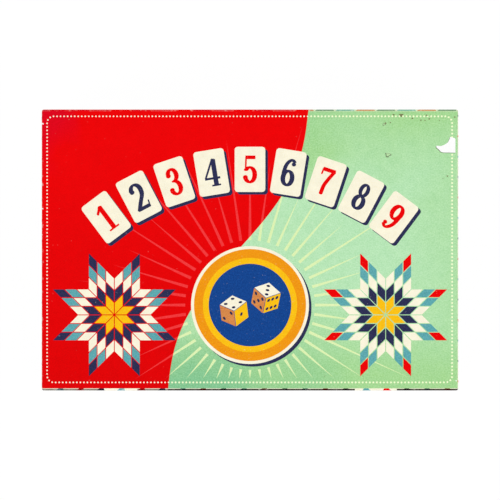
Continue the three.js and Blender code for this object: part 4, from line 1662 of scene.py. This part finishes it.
class SHUTBOX_OT_leaflet(bpy.types.Operator):
    """Finishes the folded rules leaflet and prints its plain cover"""

    bl_idname = "shut_the_box.leaflet"
    bl_label = "Rules leaflet"

    MARGIN = 7 * MM
    BAR_HALF_WIDTH = 0.8 * MM
    # How far the cover's print is sunk in the paper, and how far it stands on it
    SUNK, RAISED = -0.1 * MM, 0.04 * MM
    # Heights on the cover, from its middle, of the row of lozenges and the row of numerals
    LOZENGES_AT, NUMERALS_AT = -22 * MM, 8 * MM
    LOZENGE_HALF_HEIGHT = 7 * MM
    NUMERAL_HEIGHT = 13 * MM

    def execute(self, context):
        paper = context.scene.paper_look
        dress("rules_leaflet", board("leaflet_paper", paper.cream, ink("e9dfc4"), 0.2))
        _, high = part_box("rules_leaflet")
        shape = bmesh.new()
        ground = shift(0, 0, high.z)
        half_length = high.x - self.MARGIN
        bar = slab(-half_length, half_length, 0, self.BAR_HALF_WIDTH)[0]
        for y in (self.MARGIN - high.y, high.y - self.MARGIN):
            add_prism(shape, bar, self.SUNK, self.RAISED, ground @ shift(0, y), 0)
        pitch = 2 * half_length / len(TILE_NUMBERS)
        tall, wide = self.LOZENGE_HALF_HEIGHT, pitch * 0.34
        lozenge = [(-wide, 0), (0, -tall), (wide, 0), (0, tall)]
        for number in TILE_NUMBERS:
            middle = (number - MIDDLE_TILE) * pitch
            place = ground @ shift(middle, self.LOZENGES_AT)
            add_prism(shape, lozenge, self.SUNK, self.RAISED, place, number % 2)
            place = ground @ shift(middle, self.NUMERALS_AT)
            add_numeral(shape, number, self.NUMERAL_HEIGHT, self.SUNK, self.RAISED, place, 1 - number % 2)
        hang(
            "leaflet_print", finished(shape, "leaflet_print"), "leaflet", "leaflet_paper",
            printed_ink("leaflet_red", paper.red, paper, 0.1),
            printed_ink("leaflet_navy", paper.navy, paper, 0.1),
        )
        return {"FINISHED"}


class SHUTBOX_PT_panel(bpy.types.Panel):
    """Lists the pieces of the game and their sizes and colours"""

    bl_idname = "SHUTBOX_PT_panel"
    bl_label = "Shut the Box"
    bl_space_type = "VIEW_3D"
    bl_region_type = "UI"
    bl_category = "Shut the Box"

    def draw(self, context):
        layout = self.layout
        for operator in PIECE_OPERATORS:
            layout.operator(operator.bl_idname)
        for name, kind in LOOKS.items():
            box = layout.box()
            box.label(text=kind.__doc__)
            for size_name in kind.__annotations__:
                box.prop(getattr(context.scene, name), size_name)


LOOKS = {
    "paper_look": PaperLook,
    "print_look": PrintLook,
    "game_look": GameLook,
    "stage_look": StageLook,
}

PIECE_OPERATORS = (
    SHUTBOX_OT_stage,
    SHUTBOX_OT_lid_wrap,
    SHUTBOX_OT_base_wrap,
    SHUTBOX_OT_boards,
    SHUTBOX_OT_print,
    SHUTBOX_OT_wear,
    SHUTBOX_OT_tray_wood,
    SHUTBOX_OT_felts,
    SHUTBOX_OT_rod,
    SHUTBOX_OT_tiles,
    SHUTBOX_OT_dice,
    SHUTBOX_OT_leaflet,
)


def register():
    """Registers the classes and hangs the looks on the scene."""
    for kind in (*LOOKS.values(), *PIECE_OPERATORS, SHUTBOX_PT_panel):
        bpy.utils.register_class(kind)
    for name, kind in LOOKS.items():
        setattr(bpy.types.Scene, name, bpy.props.PointerProperty(type=kind))


def unregister():
    """Takes off what register put on."""
    for name in LOOKS:
        delattr(bpy.types.Scene, name)
    for kind in reversed((*LOOKS.values(), *PIECE_OPERATORS, SHUTBOX_PT_panel)):
        bpy.utils.unregister_class(kind)


def main():
    """Makes every piece in order."""
    register()
    for operator in PIECE_OPERATORS:
        group, name = operator.bl_idname.split(".")
        getattr(getattr(bpy.ops, group), name)()


if __name__ == "__main__":
    main()
